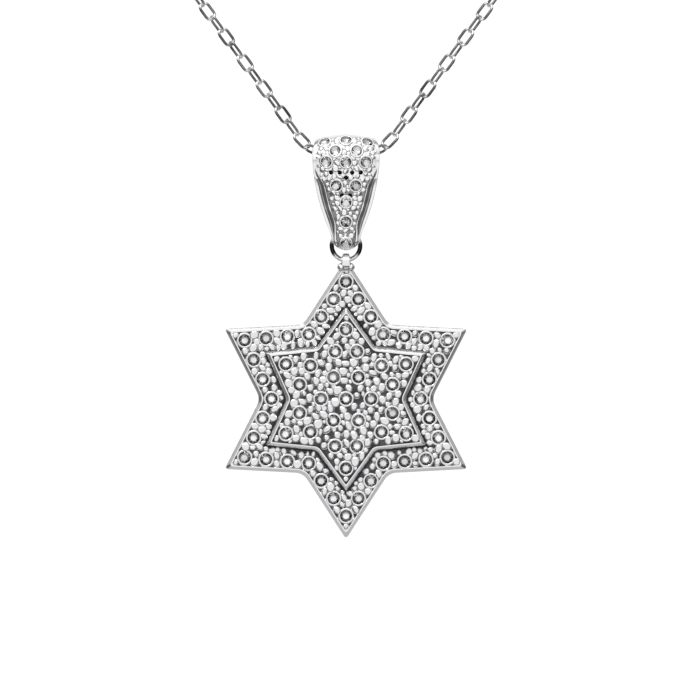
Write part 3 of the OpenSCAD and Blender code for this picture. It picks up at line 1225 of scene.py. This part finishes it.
    def shoulder(self) -> Object:
        """Makes the soldered foot of the loop, which widens into the star's cut point.

        Returns:
            The foot.
        """
        top = self.loop_up - self.loop_hole_r - self.loop_t / 3
        outline = [Vector((x, top + up)) for up, x in self.foot_rows]
        outline += [Vector((-p.x, p.y)) for p in reversed(outline)]
        middle = Vector((0, top - self.foot_middle))
        levels = [(inset, self.back + up) for inset, up in self.foot_back]
        levels += [(inset, self.front - down) for inset, down in self.foot_front]
        drawn = [(p + (middle - p).normalized() * inset, height) for inset, height in levels for p in outline]
        points = [self.place(p.x, p.y, height) for p, height in drawn]
        return solid("shoulder", points, stacked_faces(len(outline), len(levels)))

    def outer_room(self, spot: Spot) -> float:
        """Returns the distance from a spot to the edge of the outer plate's field."""
        return min(self.outer.depth(spot) - self.rim_w - self.lip_w + self.edge,
                   -self.raised.depth(spot) - self.wall_gap)

    def raised_room(self, spot: Spot) -> float:
        """Returns the distance from a spot to the edge of the raised star's field."""
        return self.raised.depth(spot) - self.slope_w - self.lip_w + self.edge

    def build(self) -> list[Object]:
        """Builds the star's metal, with the loop in one piece with it, and its fields of stones.

        Returns:
            The star's pieces.
        """
        body = self.body()
        with mesh_work(body) as work:
            for part in (self.loop(), self.shoulder(), *self.beads()):
                work.from_mesh(part.data)
                bpy.data.objects.remove(part)
        shade(body, self.sharp_degrees)
        pieces = [body]
        for name, level, stones, room, reach, metal in (
                ("outer", self.front, self.outer_spots(), self.outer_room, self.outer.tip, self.outer_metal),
                ("raised", self.raised_front, self.raised_spots(), self.raised_room, self.raised.tip,
                 self.raised_metal)):
            pieces += self.pave.build(name, self.surface(level), stones, room, reach, ARMS, self.stone, metal)
        return pieces

    def dress(self, pieces: Sequence[Object]) -> None:
        """Gives the star's pieces their finish and body.

        Args:
            pieces: The pieces as they were built.
        """
        body = pieces[0]
        self.metal.put_on(body, self.recess, self.bright, self.joint)
        for piece in pieces:
            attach(piece, Body.STAR.value)
            Slot.STONE.value if "brilliants" in piece.name else Slot.STAR.value
        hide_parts("star_setting")
        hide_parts("outer_stones")
        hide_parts("inner_stones")


@dataclass
class Bail:
    """The tapered bail: a hollow band of metal, domed across, with stones down its front."""

    width: float = 5.94
    height: float = 10.4
    top_r: float = 2.23
    foot_r: float = 0.9
    end_r: float = 1.22
    bore_r: float = 1.1
    pocket: float = 0.62
    foot_t: float = 1.4
    dome: float = 0.55
    dome_level: float = 0.6
    widest_share: float = 0.22
    corner_share: float = 0.89
    pave: Pave = Pave(0.5, 0.53, 0.17, 0.28, 0.72, 0.14)
    channel_r: float = 0.97
    channel_foot: float = 0.6
    channel_steps: int = 20
    ring_r: float = 1.25
    flare: float = 0.3
    flare_ease: float = 0.3
    strip_w: float = 0.24
    strip_most: float = 0.6
    band_w: float = 0.5
    band_top: float = -1.0
    band_foot: float = -7.2
    band_ease: float = 1.7
    step: float = 0.24
    field_shares: tuple[float, ...] = (0, 0.35, 0.7)
    groove: tuple[tuple[float, float], ...] = ((0.08, 0.15), (0.36, 1), (0.5, 0.9))
    border: tuple[tuple[float, float], ...] = ((0.36, 0.5), (0.08, 0.5))
    side_step: float = 0.8
    side_round: float = 0.1
    side_shares: tuple[float, ...] = (0, 0.35, 0.7, 1)
    bore_shares: tuple[float, ...] = (1, 0.5, 0)
    bore_inset: float = 0.05
    foot_rise: float = 0.1
    sunk_to: float = 0.3
    lip_w: float = 0.09
    field_top: float = 2.8
    field_foot: float = 0.8
    foot_turn: float = 1.75
    mouth_end: float = 1.3
    bright_to: float = 1.0
    bright_turn: float = 1.16
    field_start: float = 0.15
    field_rows: range = range(0, 4)
    groove_rows: range = range(6, 9)
    bright_seat: Seat = Seat(cone_share=0.57)
    bright_deep: float = 0.3
    shaded_seat: Seat = Seat()
    shaded_deep: float = 0.62
    dot_r: float = 0.2
    dot_cut: Seat = Seat(gap=0, hole_r=0.12, cone_share=1.5)
    dot_deep: float = 0.4
    probe: float = 0.05
    turns: int = 144
    sharp_degrees: float = 30
    metal: Finish = PolishedMetal("bail_white_metal", scratch_depth=0.4)
    # Painted shade: darker metal in the lower field and the lower stones' seats.
    recess: Finish = RecessedMetal("bail_cut_metal", 0.55, 0.15)
    # Painted light: near-white metal in the upper field and the upper stones' seats.
    bright: Finish = RecessedMetal("bail_bright_metal", 1.0, 0.85, 0.3)
    # Painted shade: near-black metal in the drilled dots.
    drilled: Finish = RecessedMetal("bail_drilled_metal", 0.06, 0.0)
    # Painted shade, in random patches, in the grooves beside the lower field.
    grooved: Finish = RecessedMetal("bail_groove_metal", 0.6, 0.1, 0.4, 1500.0)
    stone: Finish = ClearStone("bail_clear_stone", darkest=0.8)
    rows: tuple[tuple[float, tuple[float, ...]], ...] = (
        (-0.294, (-0.64, 0, 0.64)),
        (-0.14, (-0.32, 0.32)),
        (0.007, (-0.59, 0, 0.59)),
        (0.3, (-0.29, 0.29)),
        (0.504, (0,)),
        (0.749, (0,)),
        (1.021, (0,)),
    )
    dot_rows: tuple[tuple[float, tuple[float, ...]], ...] = (
        (0.98, (-1.32, -0.55, 0.55, 1.32)),
        (1.42, (0,)),
        (3.02, (-0.36, 0.36)),
    )

    def __post_init__(self) -> None:
        """Works out the bail's side view and where it hangs."""
        self.hinge = joint_place("bail_swing")
        self.half = self.width / 2
        self.down = self.height - self.top_r - self.foot_r
        self.lean = math.asin((self.top_r - self.foot_r) / self.down)
        self.straight = self.down * math.cos(self.lean)
        self.pocket_down = self.height - self.top_r - self.foot_t - self.pocket

    def half_width(self, z: float) -> float:
        """Works out half the bail's width.

        Args:
            z: Height over the hinge, in mm.

        Returns:
            Half the width there, in mm.
        """
        corner_y = self.top_r - self.dome
        widest = self.top_r * self.widest_share
        end_y = self.top_r - self.height + self.end_r
        corner_x = self.half * self.corner_share
        if z > corner_y:
            dome_r = (corner_x ** 2 + self.dome ** 2) / 2 / self.dome
            return math.sqrt(max(dome_r ** 2 - (dome_r - self.top_r + z) ** 2, 0))
        if z > widest:
            t = 1 - math.sqrt((z - widest) / (corner_y - widest))
            return corner_x + (self.half - corner_x) * (1 - (1 - t) ** 3)
        if z > end_y:
            t = (widest - z) / (widest - end_y)
            return self.end_r + (self.half - self.end_r) * (1 - t * t)
        return math.sqrt(max(self.end_r ** 2 - (end_y - z) ** 2, 0.0))

    def strip(self, z: float) -> float:
        """Returns the width of the polished strip beside the stones at a height over the hinge."""
        t = clamped(min(self.band_top - z, z - self.band_foot) / self.band_ease)
        return self.strip_w + self.band_w * t * t * (3 - 2 * t)

    def path(self, s: float, top_r: float, foot_r: float, down: float) -> tuple[Vector, Vector]:
        """Finds a place on a side view of two arcs and their tangents.

        Args:
            s: Place round it, from 0 at the middle of the top over the front to 4.
            top_r: Radius of the upper arc, in mm.
            foot_r: Radius of the lower arc, in mm.
            down: Distance between the arcs' middles, in mm.

        Returns:
            The depth and height of the place, and the way out there.
        """
        lean = math.asin((top_r - foot_r) / down)
        side = 1 if s > 2 else -1
        t = 4 - s if s > 2 else s
        along = clamped((t - 1) / (self.foot_turn - 1))
        a = math.radians(90) * (1 - t) - lean * t if t < 1 else -lean
        if t >= self.foot_turn:
            a += (-math.pi / 2 - a) * (t - self.foot_turn) / (2 - self.foot_turn)
        out = Vector((side * math.cos(a), math.sin(a)))
        return out * (top_r + (foot_r - top_r) * along) + Vector((0, -down * along)), out

    def drop(self, x: float, out: Vector) -> float:
        """Works out how far the domed metal lies under its crest.

        Args:
            x: Distance from the middle, in mm.
            out: The way out at the crest.

        Returns:
            The depth, in mm.
        """
        x = abs(x)
        level = self.dome_level + (1 - self.dome_level) * max(out.y, 0)
        crown = self.dome * (x / self.half / self.corner_share) ** 2 * level
        tip = self.end_r - math.sqrt(max(self.end_r ** 2 - x * x, 0))
        share = max(-out.y, 0) ** 2
        return crown * (1 - share) + tip * share

    def section(self, s: float) -> list[Vector]:
        """Draws one half of the band's section, from its crest.

        Args:
            s: Place round the side view, from 0 to 4.

        Returns:
            The section's points, in mm from the hinge.
        """
        crest, out = self.path(s, self.top_r, self.foot_r, self.down)
        hollow, hollow_out = self.path(s, self.bore_r, self.pocket, self.pocket_down)
        low = self.top_r - self.height + self.foot_rise
        edge_z = max(crest.y - out.y * self.drop(self.half * self.corner_share, out), low)
        half = self.half_width(edge_z)
        strip = min(self.strip(edge_z), half * self.strip_most)
        field_w = half - strip
        sunk = self.pave.drop if out.x < self.sunk_to else 0
        step = self.step * max(strip - self.strip_w, 0) / self.band_w if out.x < 0 else 0
        lip_in = field_w - self.lip_w
        across = [(field_w * share, sunk) for share in self.field_shares]
        across += [(lip_in - self.pave.drop * FIELD_SLOPE, sunk), (lip_in, 0), (field_w, 0)]
        across += [(field_w + strip * share, step * depth) for share, depth in self.groove]
        across += [(half - strip * share, step * depth) for share, depth in self.border]
        points = [Vector((x, *(crest - out * (self.drop(x, out) + sink)))) for x, sink in across]
        turn = abs(s - 4) if s > 2 else s
        mouth = hollow + hollow_out * self.flare * clamped((self.mouth_end - turn) / self.flare_ease)
        edge = crest - out * (self.drop(half, out) + step * self.side_step + strip * self.side_round)
        for p in (edge.lerp(mouth, share) for share in self.side_shares):
            points.append(Vector((max(self.half_width(p.y), half), *p)))
        inner = points[-1].x - self.flare - self.bore_inset
        return [*points, *(Vector((inner * share, *hollow)) for share in self.bore_shares)]

    def band(self) -> Object:
        """Makes the bail's whole band, with its hollow, as one closed shape.

        Returns:
            The band.
        """
        rings = []
        for i in range(self.turns):
            right = self.section(4 * i / self.turns)
            left = [Vector((-p.x, p.y, p.z)) for p in reversed(right[1:-1])]
            rings.append([self.hinge + p for p in right + left])
        made = wound("bail_band", rings)
        n = len(rings[0])
        for i, f in enumerate(made.data.polygons):
            s, row = 4 * (i // n + 0.5) / self.turns, min(i % n, n - 1 - i % n)
            # Painted light on the upper rows of the field, painted shade on its lower rows and in the lower
            # grooves.
            if self.field_start < s < 2 and row in self.field_rows:
                f.material_index = Look.BRIGHT if s < self.bright_turn else Look.RECESSED
            elif self.bright_turn < s < 2 and row in self.groove_rows:
                f.material_index = Look.GROOVED
        return made

    def ring_channel(self) -> Object:
        """Makes the tool that clears the jump ring's way round the foot.

        Returns:
            The tool.
        """
        centre = joint_place("ring_swing").z - self.ring_r - self.hinge.z
        low = centre - self.channel_r * self.channel_foot
        reach = math.degrees(math.asin((low - centre) / self.channel_r))
        outline = [Vector((-self.width, low)), Vector((-self.width, -self.pocket_down)),
                   Vector((self.width, -self.pocket_down)), Vector((self.width, low))]
        for i in range(self.channel_steps + 1):
            a = reach + (180 - 2 * reach) * i / self.channel_steps
            outline.append(polar(self.channel_r, a) + Vector((0, centre)))
        n = len(outline)
        points = [self.hinge + Vector((p.x, y, p.y)) for y in (-self.pocket, self.pocket) for p in outline]
        faces = [range(n), range(2 * n - 1, n - 1, -1)]
        faces += [(j, j + n, (j + 1) % n + n, (j + 1) % n) for j in range(n)]
        return solid("ring_channel", points, faces)

    def front_place(self, s: float) -> tuple[Vector, Vector]:
        """Finds a place on the front's crest.

        Args:
            s: Distance down the front from where its straight part starts, in mm.

        Returns:
            The depth and height of the place, and the way out there.
        """
        if s < 0:
            a = -self.lean - s / self.top_r
            out = Vector((-math.cos(a), math.sin(a)))
            return out * self.top_r, out
        out = Vector((-math.cos(self.lean), -math.sin(self.lean)))
        if s < self.straight:
            return out * self.top_r + Vector((math.sin(self.lean), -math.cos(self.lean))) * s, out
        a = self.lean + (s - self.straight) / self.foot_r
        out = Vector((-math.cos(a), -math.sin(a)))
        return out * self.foot_r + Vector((0, -self.down)), out

    def surface(self, spot: Spot, lift: float) -> tuple[Vector, Euler]:
        """Finds the place and the turn of a spot on the front.

        Args:
            spot: The spot, v counted up the front.
            lift: Height over the metal, in mm.

        Returns:
            The place in the frame, and the turn.
        """
        crest, out = self.front_place(-spot.v)
        fall = self.drop(spot.u, out)
        slope = self.drop(abs(spot.u) + self.probe, out) / self.probe - fall / self.probe
        normal = Vector((math.copysign(slope, spot.u), out.x, out.y)).normalized()
        place = Vector((spot.u, crest.x - out.x * fall, crest.y - out.y * fall)) + normal * lift
        return self.hinge + place, normal.to_track_quat("Z", "Y").to_euler()

    def spots(self) -> list[Spot]:
        """Returns the places of the stones down the front."""
        return [Spot(share * self.half, -row * self.straight, self.pave.stone_r)
                for row, shares in self.rows for share in shares]

    def dots(self) -> list[Spot]:
        """Returns the places of the small drilled dots between the stones."""
        return [Spot(u, -down, self.dot_r) for down, places in self.dot_rows for u in places]

    def room(self, spot: Spot) -> float:
        """Works out how much room a spot has.

        Args:
            spot: The spot.

        Returns:
            The distance to the edge of the field or to a drilled dot, in mm.
        """
        crest, out = self.front_place(-spot.v)
        z = crest.y - out.y * self.drop(spot.u, out)
        across = self.half_width(z) - self.strip(z) - self.lip_w - abs(spot.u)
        dot = min(spot.to(dot) for dot in self.dots()) - self.dot_r
        return min(across, dot, self.field_top - spot.v, spot.v + self.straight + self.field_foot)

    def build(self) -> list[Object]:
        """Builds the bail's band with its seats cut, and its field of stones.

        Returns:
            The bail's pieces.
        """
        spots = self.spots()
        band = self.band()
        cut(band, self.ring_channel())
        high = [spot for spot in spots if -spot.v < self.bright_to]
        low = [spot for spot in spots if spot not in high]
        sink = self.pave.sink
        # Painted light in the upper seats, painted shade in the lower seats and in the dots.
        for part, seat, deep, lift, look in (
                (high, self.bright_seat, self.bright_deep, -sink, Look.BRIGHT),
                (low, self.shaded_seat, self.shaded_deep, -sink, Look.RECESSED),
                (self.dots(), self.dot_cut, self.dot_deep, -self.pave.drop, Look.DRILLED)):
            cut(band, seat_cutter(self.surface, part, seat, deep, lift, look))
        shade(band, self.sharp_degrees)
        return [band, *self.pave.build("bail", self.surface, spots, self.room, self.straight + self.top_r, 1,
                                       self.stone, self.metal)]

    def dress(self, pieces: Sequence[Object]) -> None:
        """Gives the bail's pieces their finish and body.

        Args:
            pieces: The pieces as they were built.
        """
        band, stones = pieces[:2]
        self.metal.put_on(band, self.recess, self.bright, self.drilled, self.grooved)
        for piece in pieces:
            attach(piece, Body.BAIL.value)
            Slot.STONE.value if piece is stones else Slot.BAIL.value
        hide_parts("bail")
        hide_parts("bail_stones")


@dataclass
class JumpRing:
    """The ring between bail and star, its wire drawn with soft ridges and painted dark at the ring's two
    sides as painted shade.
    """

    turns: int = 72
    ridge_turn: float = 5
    ridge_share: float = 0.8
    # Painted shade: the wire is painted dark between these angles, on the ring's two sides.
    shade_top: float = 14
    shade_foot: float = -36
    shade_ease: float = 11
    sharp_degrees: float = 25
    metal: Finish = PaintedShadeMetal("ring_white_metal", 0.06, 1.0, 0.3, 0.15)

    def build(self) -> list[Object]:
        """Builds the ring where its node is.

        Returns:
            The ring.
        """
        low, high = (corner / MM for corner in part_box("jump_ring"))
        centre = (low + high) / 2
        wire = (high.y - low.y) / 2
        middle = (high.x - low.x) / 2 - wire
        section = [point for a in range(0, 360, 90) for point in (
            polar(wire, a - self.ridge_turn), polar(wire, a + self.ridge_turn),
            polar(wire * self.ridge_share, a + 45))]
        ways = [polar(1, i * 360 / self.turns) for i in range(self.turns)]
        made = wound("jump_ring_wire", [
            [centre + Vector((out.x * (middle + w.x), w.y, out.y * (middle + w.x))) for w in section]
            for out in ways])
        # Painted shade: the note falls to 0 on the ring's two sides, which are painted dark.
        note = made.data.attributes.new(SHADE_NOTE, "FLOAT", "POINT")
        for i, item in enumerate(note.data):
            up = math.degrees(math.asin(math.sin(math.tau * (i // len(section)) / self.turns)))
            past = max(self.shade_foot - up, up - self.shade_top)
            item.value = clamped(0.5 + past / self.shade_ease / 2)
        shade(made, self.sharp_degrees)
        return [made]

    def dress(self, pieces: Sequence[Object]) -> None:
        """Gives the ring its finish and body.

        Args:
            pieces: The ring.
        """
        self.metal.put_on(pieces[0])
        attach(pieces[0], Body.RING.value)
        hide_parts("jump_ring")


@dataclass
class CableChain:
    """The fine cable chain along its route, and its links."""

    link_l: float = 1.92
    link_w: float = 1.14
    wire: float = 0.25
    slack: float = 0.01
    end_steps: int = 6
    wire_sides: int = 6
    samples: int = 12
    # Painted shade: the links' straight sides are painted dark and their ends bright.
    metal: Finish = PaintedShadeMetal("chain_white_metal")
    route: tuple[tuple[float, float, float], ...] = (
        (0, -106, -134), (1.5, -106, -134), (2.6, -106, -133.9), (3.3, -106, -133.55),
        (4, -106, -132.8), (5.6, -105.9, -130.6), (12.7, -105.6, -120.9), (25, -104, -104.1),
        (37, -100.5, -88), (45.5, -94, -74.5), (51.5, -83, -59.5), (54.5, -66.5, -43.5),
        (53.5, -48, -28.5), (48, -30, -16), (38, -15, -7.5), (26, -5.8, -2.8),
        (15, -1, -0.8), (9, 0.3, -0.2), (4.7, 0.6, 0),
    )

    def curve(self) -> list[Vector]:
        """Draws the whole smooth route.

        Returns:
            Points close together along it, left end first, in mm.
        """
        right = [Vector(p) for p in self.route]
        knots = [Vector((-p.x, p.y, p.z)) for p in reversed(right[1:])] + right
        knots = [2 * knots[0] - knots[1], *knots, 2 * knots[-1] - knots[-2]]
        points: list[Vector] = []
        for p0, p1, p2, p3 in zip(knots, knots[1:], knots[2:], knots[3:]):
            t1 = math.sqrt((p1 - p0).length)
            t2 = t1 + math.sqrt((p2 - p1).length)
            t3 = t2 + math.sqrt((p3 - p2).length)
            for i in range(self.samples):
                t = t1 + (t2 - t1) * i / self.samples
                a1 = p0.lerp(p1, t / t1)
                a2 = p1.lerp(p2, (t - t1) / (t2 - t1))
                a3 = p2.lerp(p3, (t - t2) / (t3 - t2))
                b1, b2 = a1.lerp(a2, t / t2), a2.lerp(a3, (t - t1) / (t3 - t1))
                points.append(b1.lerp(b2, (t - t1) / (t2 - t1)))
        return [*points, right[-1]]

    def link(self) -> Object:
        """Makes one oval link, its length along z and its width along x.

        Returns:
            The link, with the note that paints shade on its straight sides.
        """
        bow = (self.link_w - self.wire) / 2
        reach = (self.link_l - self.wire) / 2 - bow
        n, steps = self.wire_sides, self.end_steps
        turns = [end + i * 180 / steps for end in (0, 180) for i in range(steps + 1)]
        around = [polar(self.wire / 2, (j + 0.5) * 360 / n) for j in range(n)]
        sections = []
        for i, a in enumerate(turns):
            p, out = polar(bow, a) + Vector((0, reach if i <= steps else -reach)), polar(1, a)
            sections.append([Vector((p.x + out.x * w.x, w.y, p.y + out.y * w.x)) for w in around])
        made = wound("link_shape", sections, smooth=True)
        # Painted shade: the note falls to 0 on the link's straight sides.
        note = made.data.attributes.new(SHADE_NOTE, "FLOAT", "POINT")
        note.data.foreach_set("value", [abs(math.sin(math.radians(a))) for a in turns for _ in around])
        return made

    def build(self) -> list[Object]:
        """Builds the links along the route.

        Returns:
            The links, as one piece.
        """
        points = self.curve()
        links = mesh_object("cable_links", points, edges=[(i, i + 1) for i in range(len(points) - 1)])
        side = Vector((1, 0, 0)).cross(Vector(self.route[0])).normalized()
        pitch = self.link_l - 2 * self.wire - self.slack
        link_tree().grow(links, self.link(), self.metal, Pitch=pitch * MM, Side=tuple(side))
        return [links]

    def dress(self, pieces: Sequence[Object]) -> None:
        """Gives the links their body.

        Args:
            pieces: The links, as one piece.
        """
        links = pieces[0]
        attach(links, Body.NECKLACE.value)
        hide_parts("chain")


@dataclass
class Studio:
    """The plain pale floor, the soft light and the camera."""

    floor_r: float = 160.0
    floor_drop: float = 72.0
    floor_sides: int = 96
    camera_away: float = 550.0
    seen_m: tuple[float, float] = (0.01, 10)
    photo_w: float = 61.5
    photo_star_px: tuple[float, float] = (346.0, 399.0)
    squeeze: float = 1.1
    dimmest: float = 0.12
    background: float = 1.05
    lamp_power: float = 0.3
    lamp_w: float = 120
    lamp_away: tuple[float, float, float] = (-180, -320, 330)
    floor: Finish = PaleFloor("pale_floor")
    boxes: tuple[tuple[tuple[float, float, float], float, float, float], ...] = (
        ((0, -1, 0.06), 50, 38, 0.9),
        ((0, -0.3, 1), 46, 28, 1.1),
        ((-0.73, -0.53, 0.42), 24, 12, 0.4),
        ((0.73, -0.53, 0.42), 24, 12, 0.4),
        ((-1, 0, 0.75), 30, 18, 0.35),
        ((1, 0, 0.75), 30, 18, 0.25),
        ((0, 1, 0.1), 100, 70, 0.22),
        ((0, 1, 0.3), 50, 25, 0.65),
    )

    def build(self) -> None:
        """Builds floor, light and camera."""
        self.lay_floor()
        self.light_world()
        self.place_lamp()
        self.place_camera()

    def lay_floor(self) -> None:
        """Lays a round floor below the pendant."""
        low = cad_bounds[0].z / MM - self.floor_drop
        n = self.floor_sides
        points = [Vector((*polar(self.floor_r, i * 360 / n), low)) for i in range(n)]
        floor = mesh_object("floor", points, [range(n)])
        self.floor.put_on(floor)

    def light_world(self) -> None:
        """Makes a white background, with soft boxes and dark gaps between them for what shines."""
        world = bpy.data.worlds.new("studio")
        bpy.context.scene.world = world
        world.use_nodes = True
        world.node_tree.nodes.clear()
        nodes = NodeTree(world.node_tree)
        way = nodes.get("ShaderNodeTexCoord", "Generated")
        squeezed = nodes.vector("MULTIPLY", way, (self.squeeze, 1, 1))
        aim = nodes.get("ShaderNodeVectorMath", 0, {0: squeezed}, operation="NORMALIZE")
        total: object = self.dimmest
        for direction, wide, narrow, strength in self.boxes:
            near = nodes.get("ShaderNodeVectorMath", "Value", {0: aim, 1: Vector(direction).normalized()},
                             operation="DOT_PRODUCT")
            start, end = (math.cos(math.radians(angle)) for angle in (wide, narrow))
            soft = nodes.spread(near, 0, strength, start, end, "SMOOTHSTEP")
            total = nodes.math("ADD", soft, total)
        glow, white = (nodes.get("ShaderNodeBackground", 0, {"Color": (1, 1, 1, 1), "Strength": strength})
                       for strength in (total, self.background))
        seen = nodes.get("ShaderNodeLightPath", "Is Camera Ray")
        choice = nodes.get("ShaderNodeMixShader", 0, {0: seen, 1: glow, 2: white})
        nodes.fill(world.node_tree.nodes.new("ShaderNodeOutputWorld"), {"Surface": choice})

    def place_lamp(self) -> None:
        """Hangs one soft lamp over the pendant's left front."""
        lamp = bpy.data.lights.new("key", "AREA")
        lamp.energy = self.lamp_power
        lamp.shape = "DISK"
        lamp.size = self.lamp_w * MM
        key = new_object("key", lamp)
        away = Vector(self.lamp_away)
        key.location = (middle_of("star_setting") + away) * MM
        key.rotation_euler = away.to_track_quat("Z", "Y").to_euler()
        key.visible_camera = False

    def place_camera(self) -> None:
        """Aims the camera straight at the pendant, framed as in the photograph."""
        star = middle_of("inner_stones")
        px = self.photo_w / PHOTO_SIDE_PX
        middle_px = PHOTO_SIDE_PX / 2
        x = star.x + (middle_px - self.photo_star_px[0]) * px
        z = star.z + (self.photo_star_px[1] - middle_px) * px
        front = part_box("star_setting")[0].y / MM
        data = bpy.data.cameras.new("camera")
        data.lens = data.sensor_width * self.camera_away / self.photo_w
        data.clip_start, data.clip_end = self.seen_m
        camera = new_object("camera", data)
        camera.location = Vector((x, front - self.camera_away, z)) * MM
        camera.rotation_euler = (math.pi / 2, 0, 0)
        bpy.context.scene.camera = camera
        bpy.context.scene.view_settings.view_transform = "Standard"


@dataclass
class Clasp:
    """The plain round clasp, which keeps the frame's own shape."""

    metal: Finish = PolishedMetal("clasp_white_metal")

    def dress(self) -> None:
        """Gives the clasp its finish."""
        self.metal.put_on(frame["nodes"]["clasp"])
        LOG.info("clasp: finish %s", self.metal.name)


def main() -> None:
    """Builds every sub-assembly in order."""
    logging.basicConfig(level=logging.INFO, format="%(name)s: %(message)s")
    Studio().build()
    for assembly in (CableChain(), Bail(), JumpRing(), StarSetting()):
        pieces = assembly.build()
        assembly.dress(pieces)
        for piece in pieces:
            LOG.info("%s: %d faces", piece.name, len(piece.data.polygons))
    Clasp().dress()


if __name__ == "__main__":
    main()
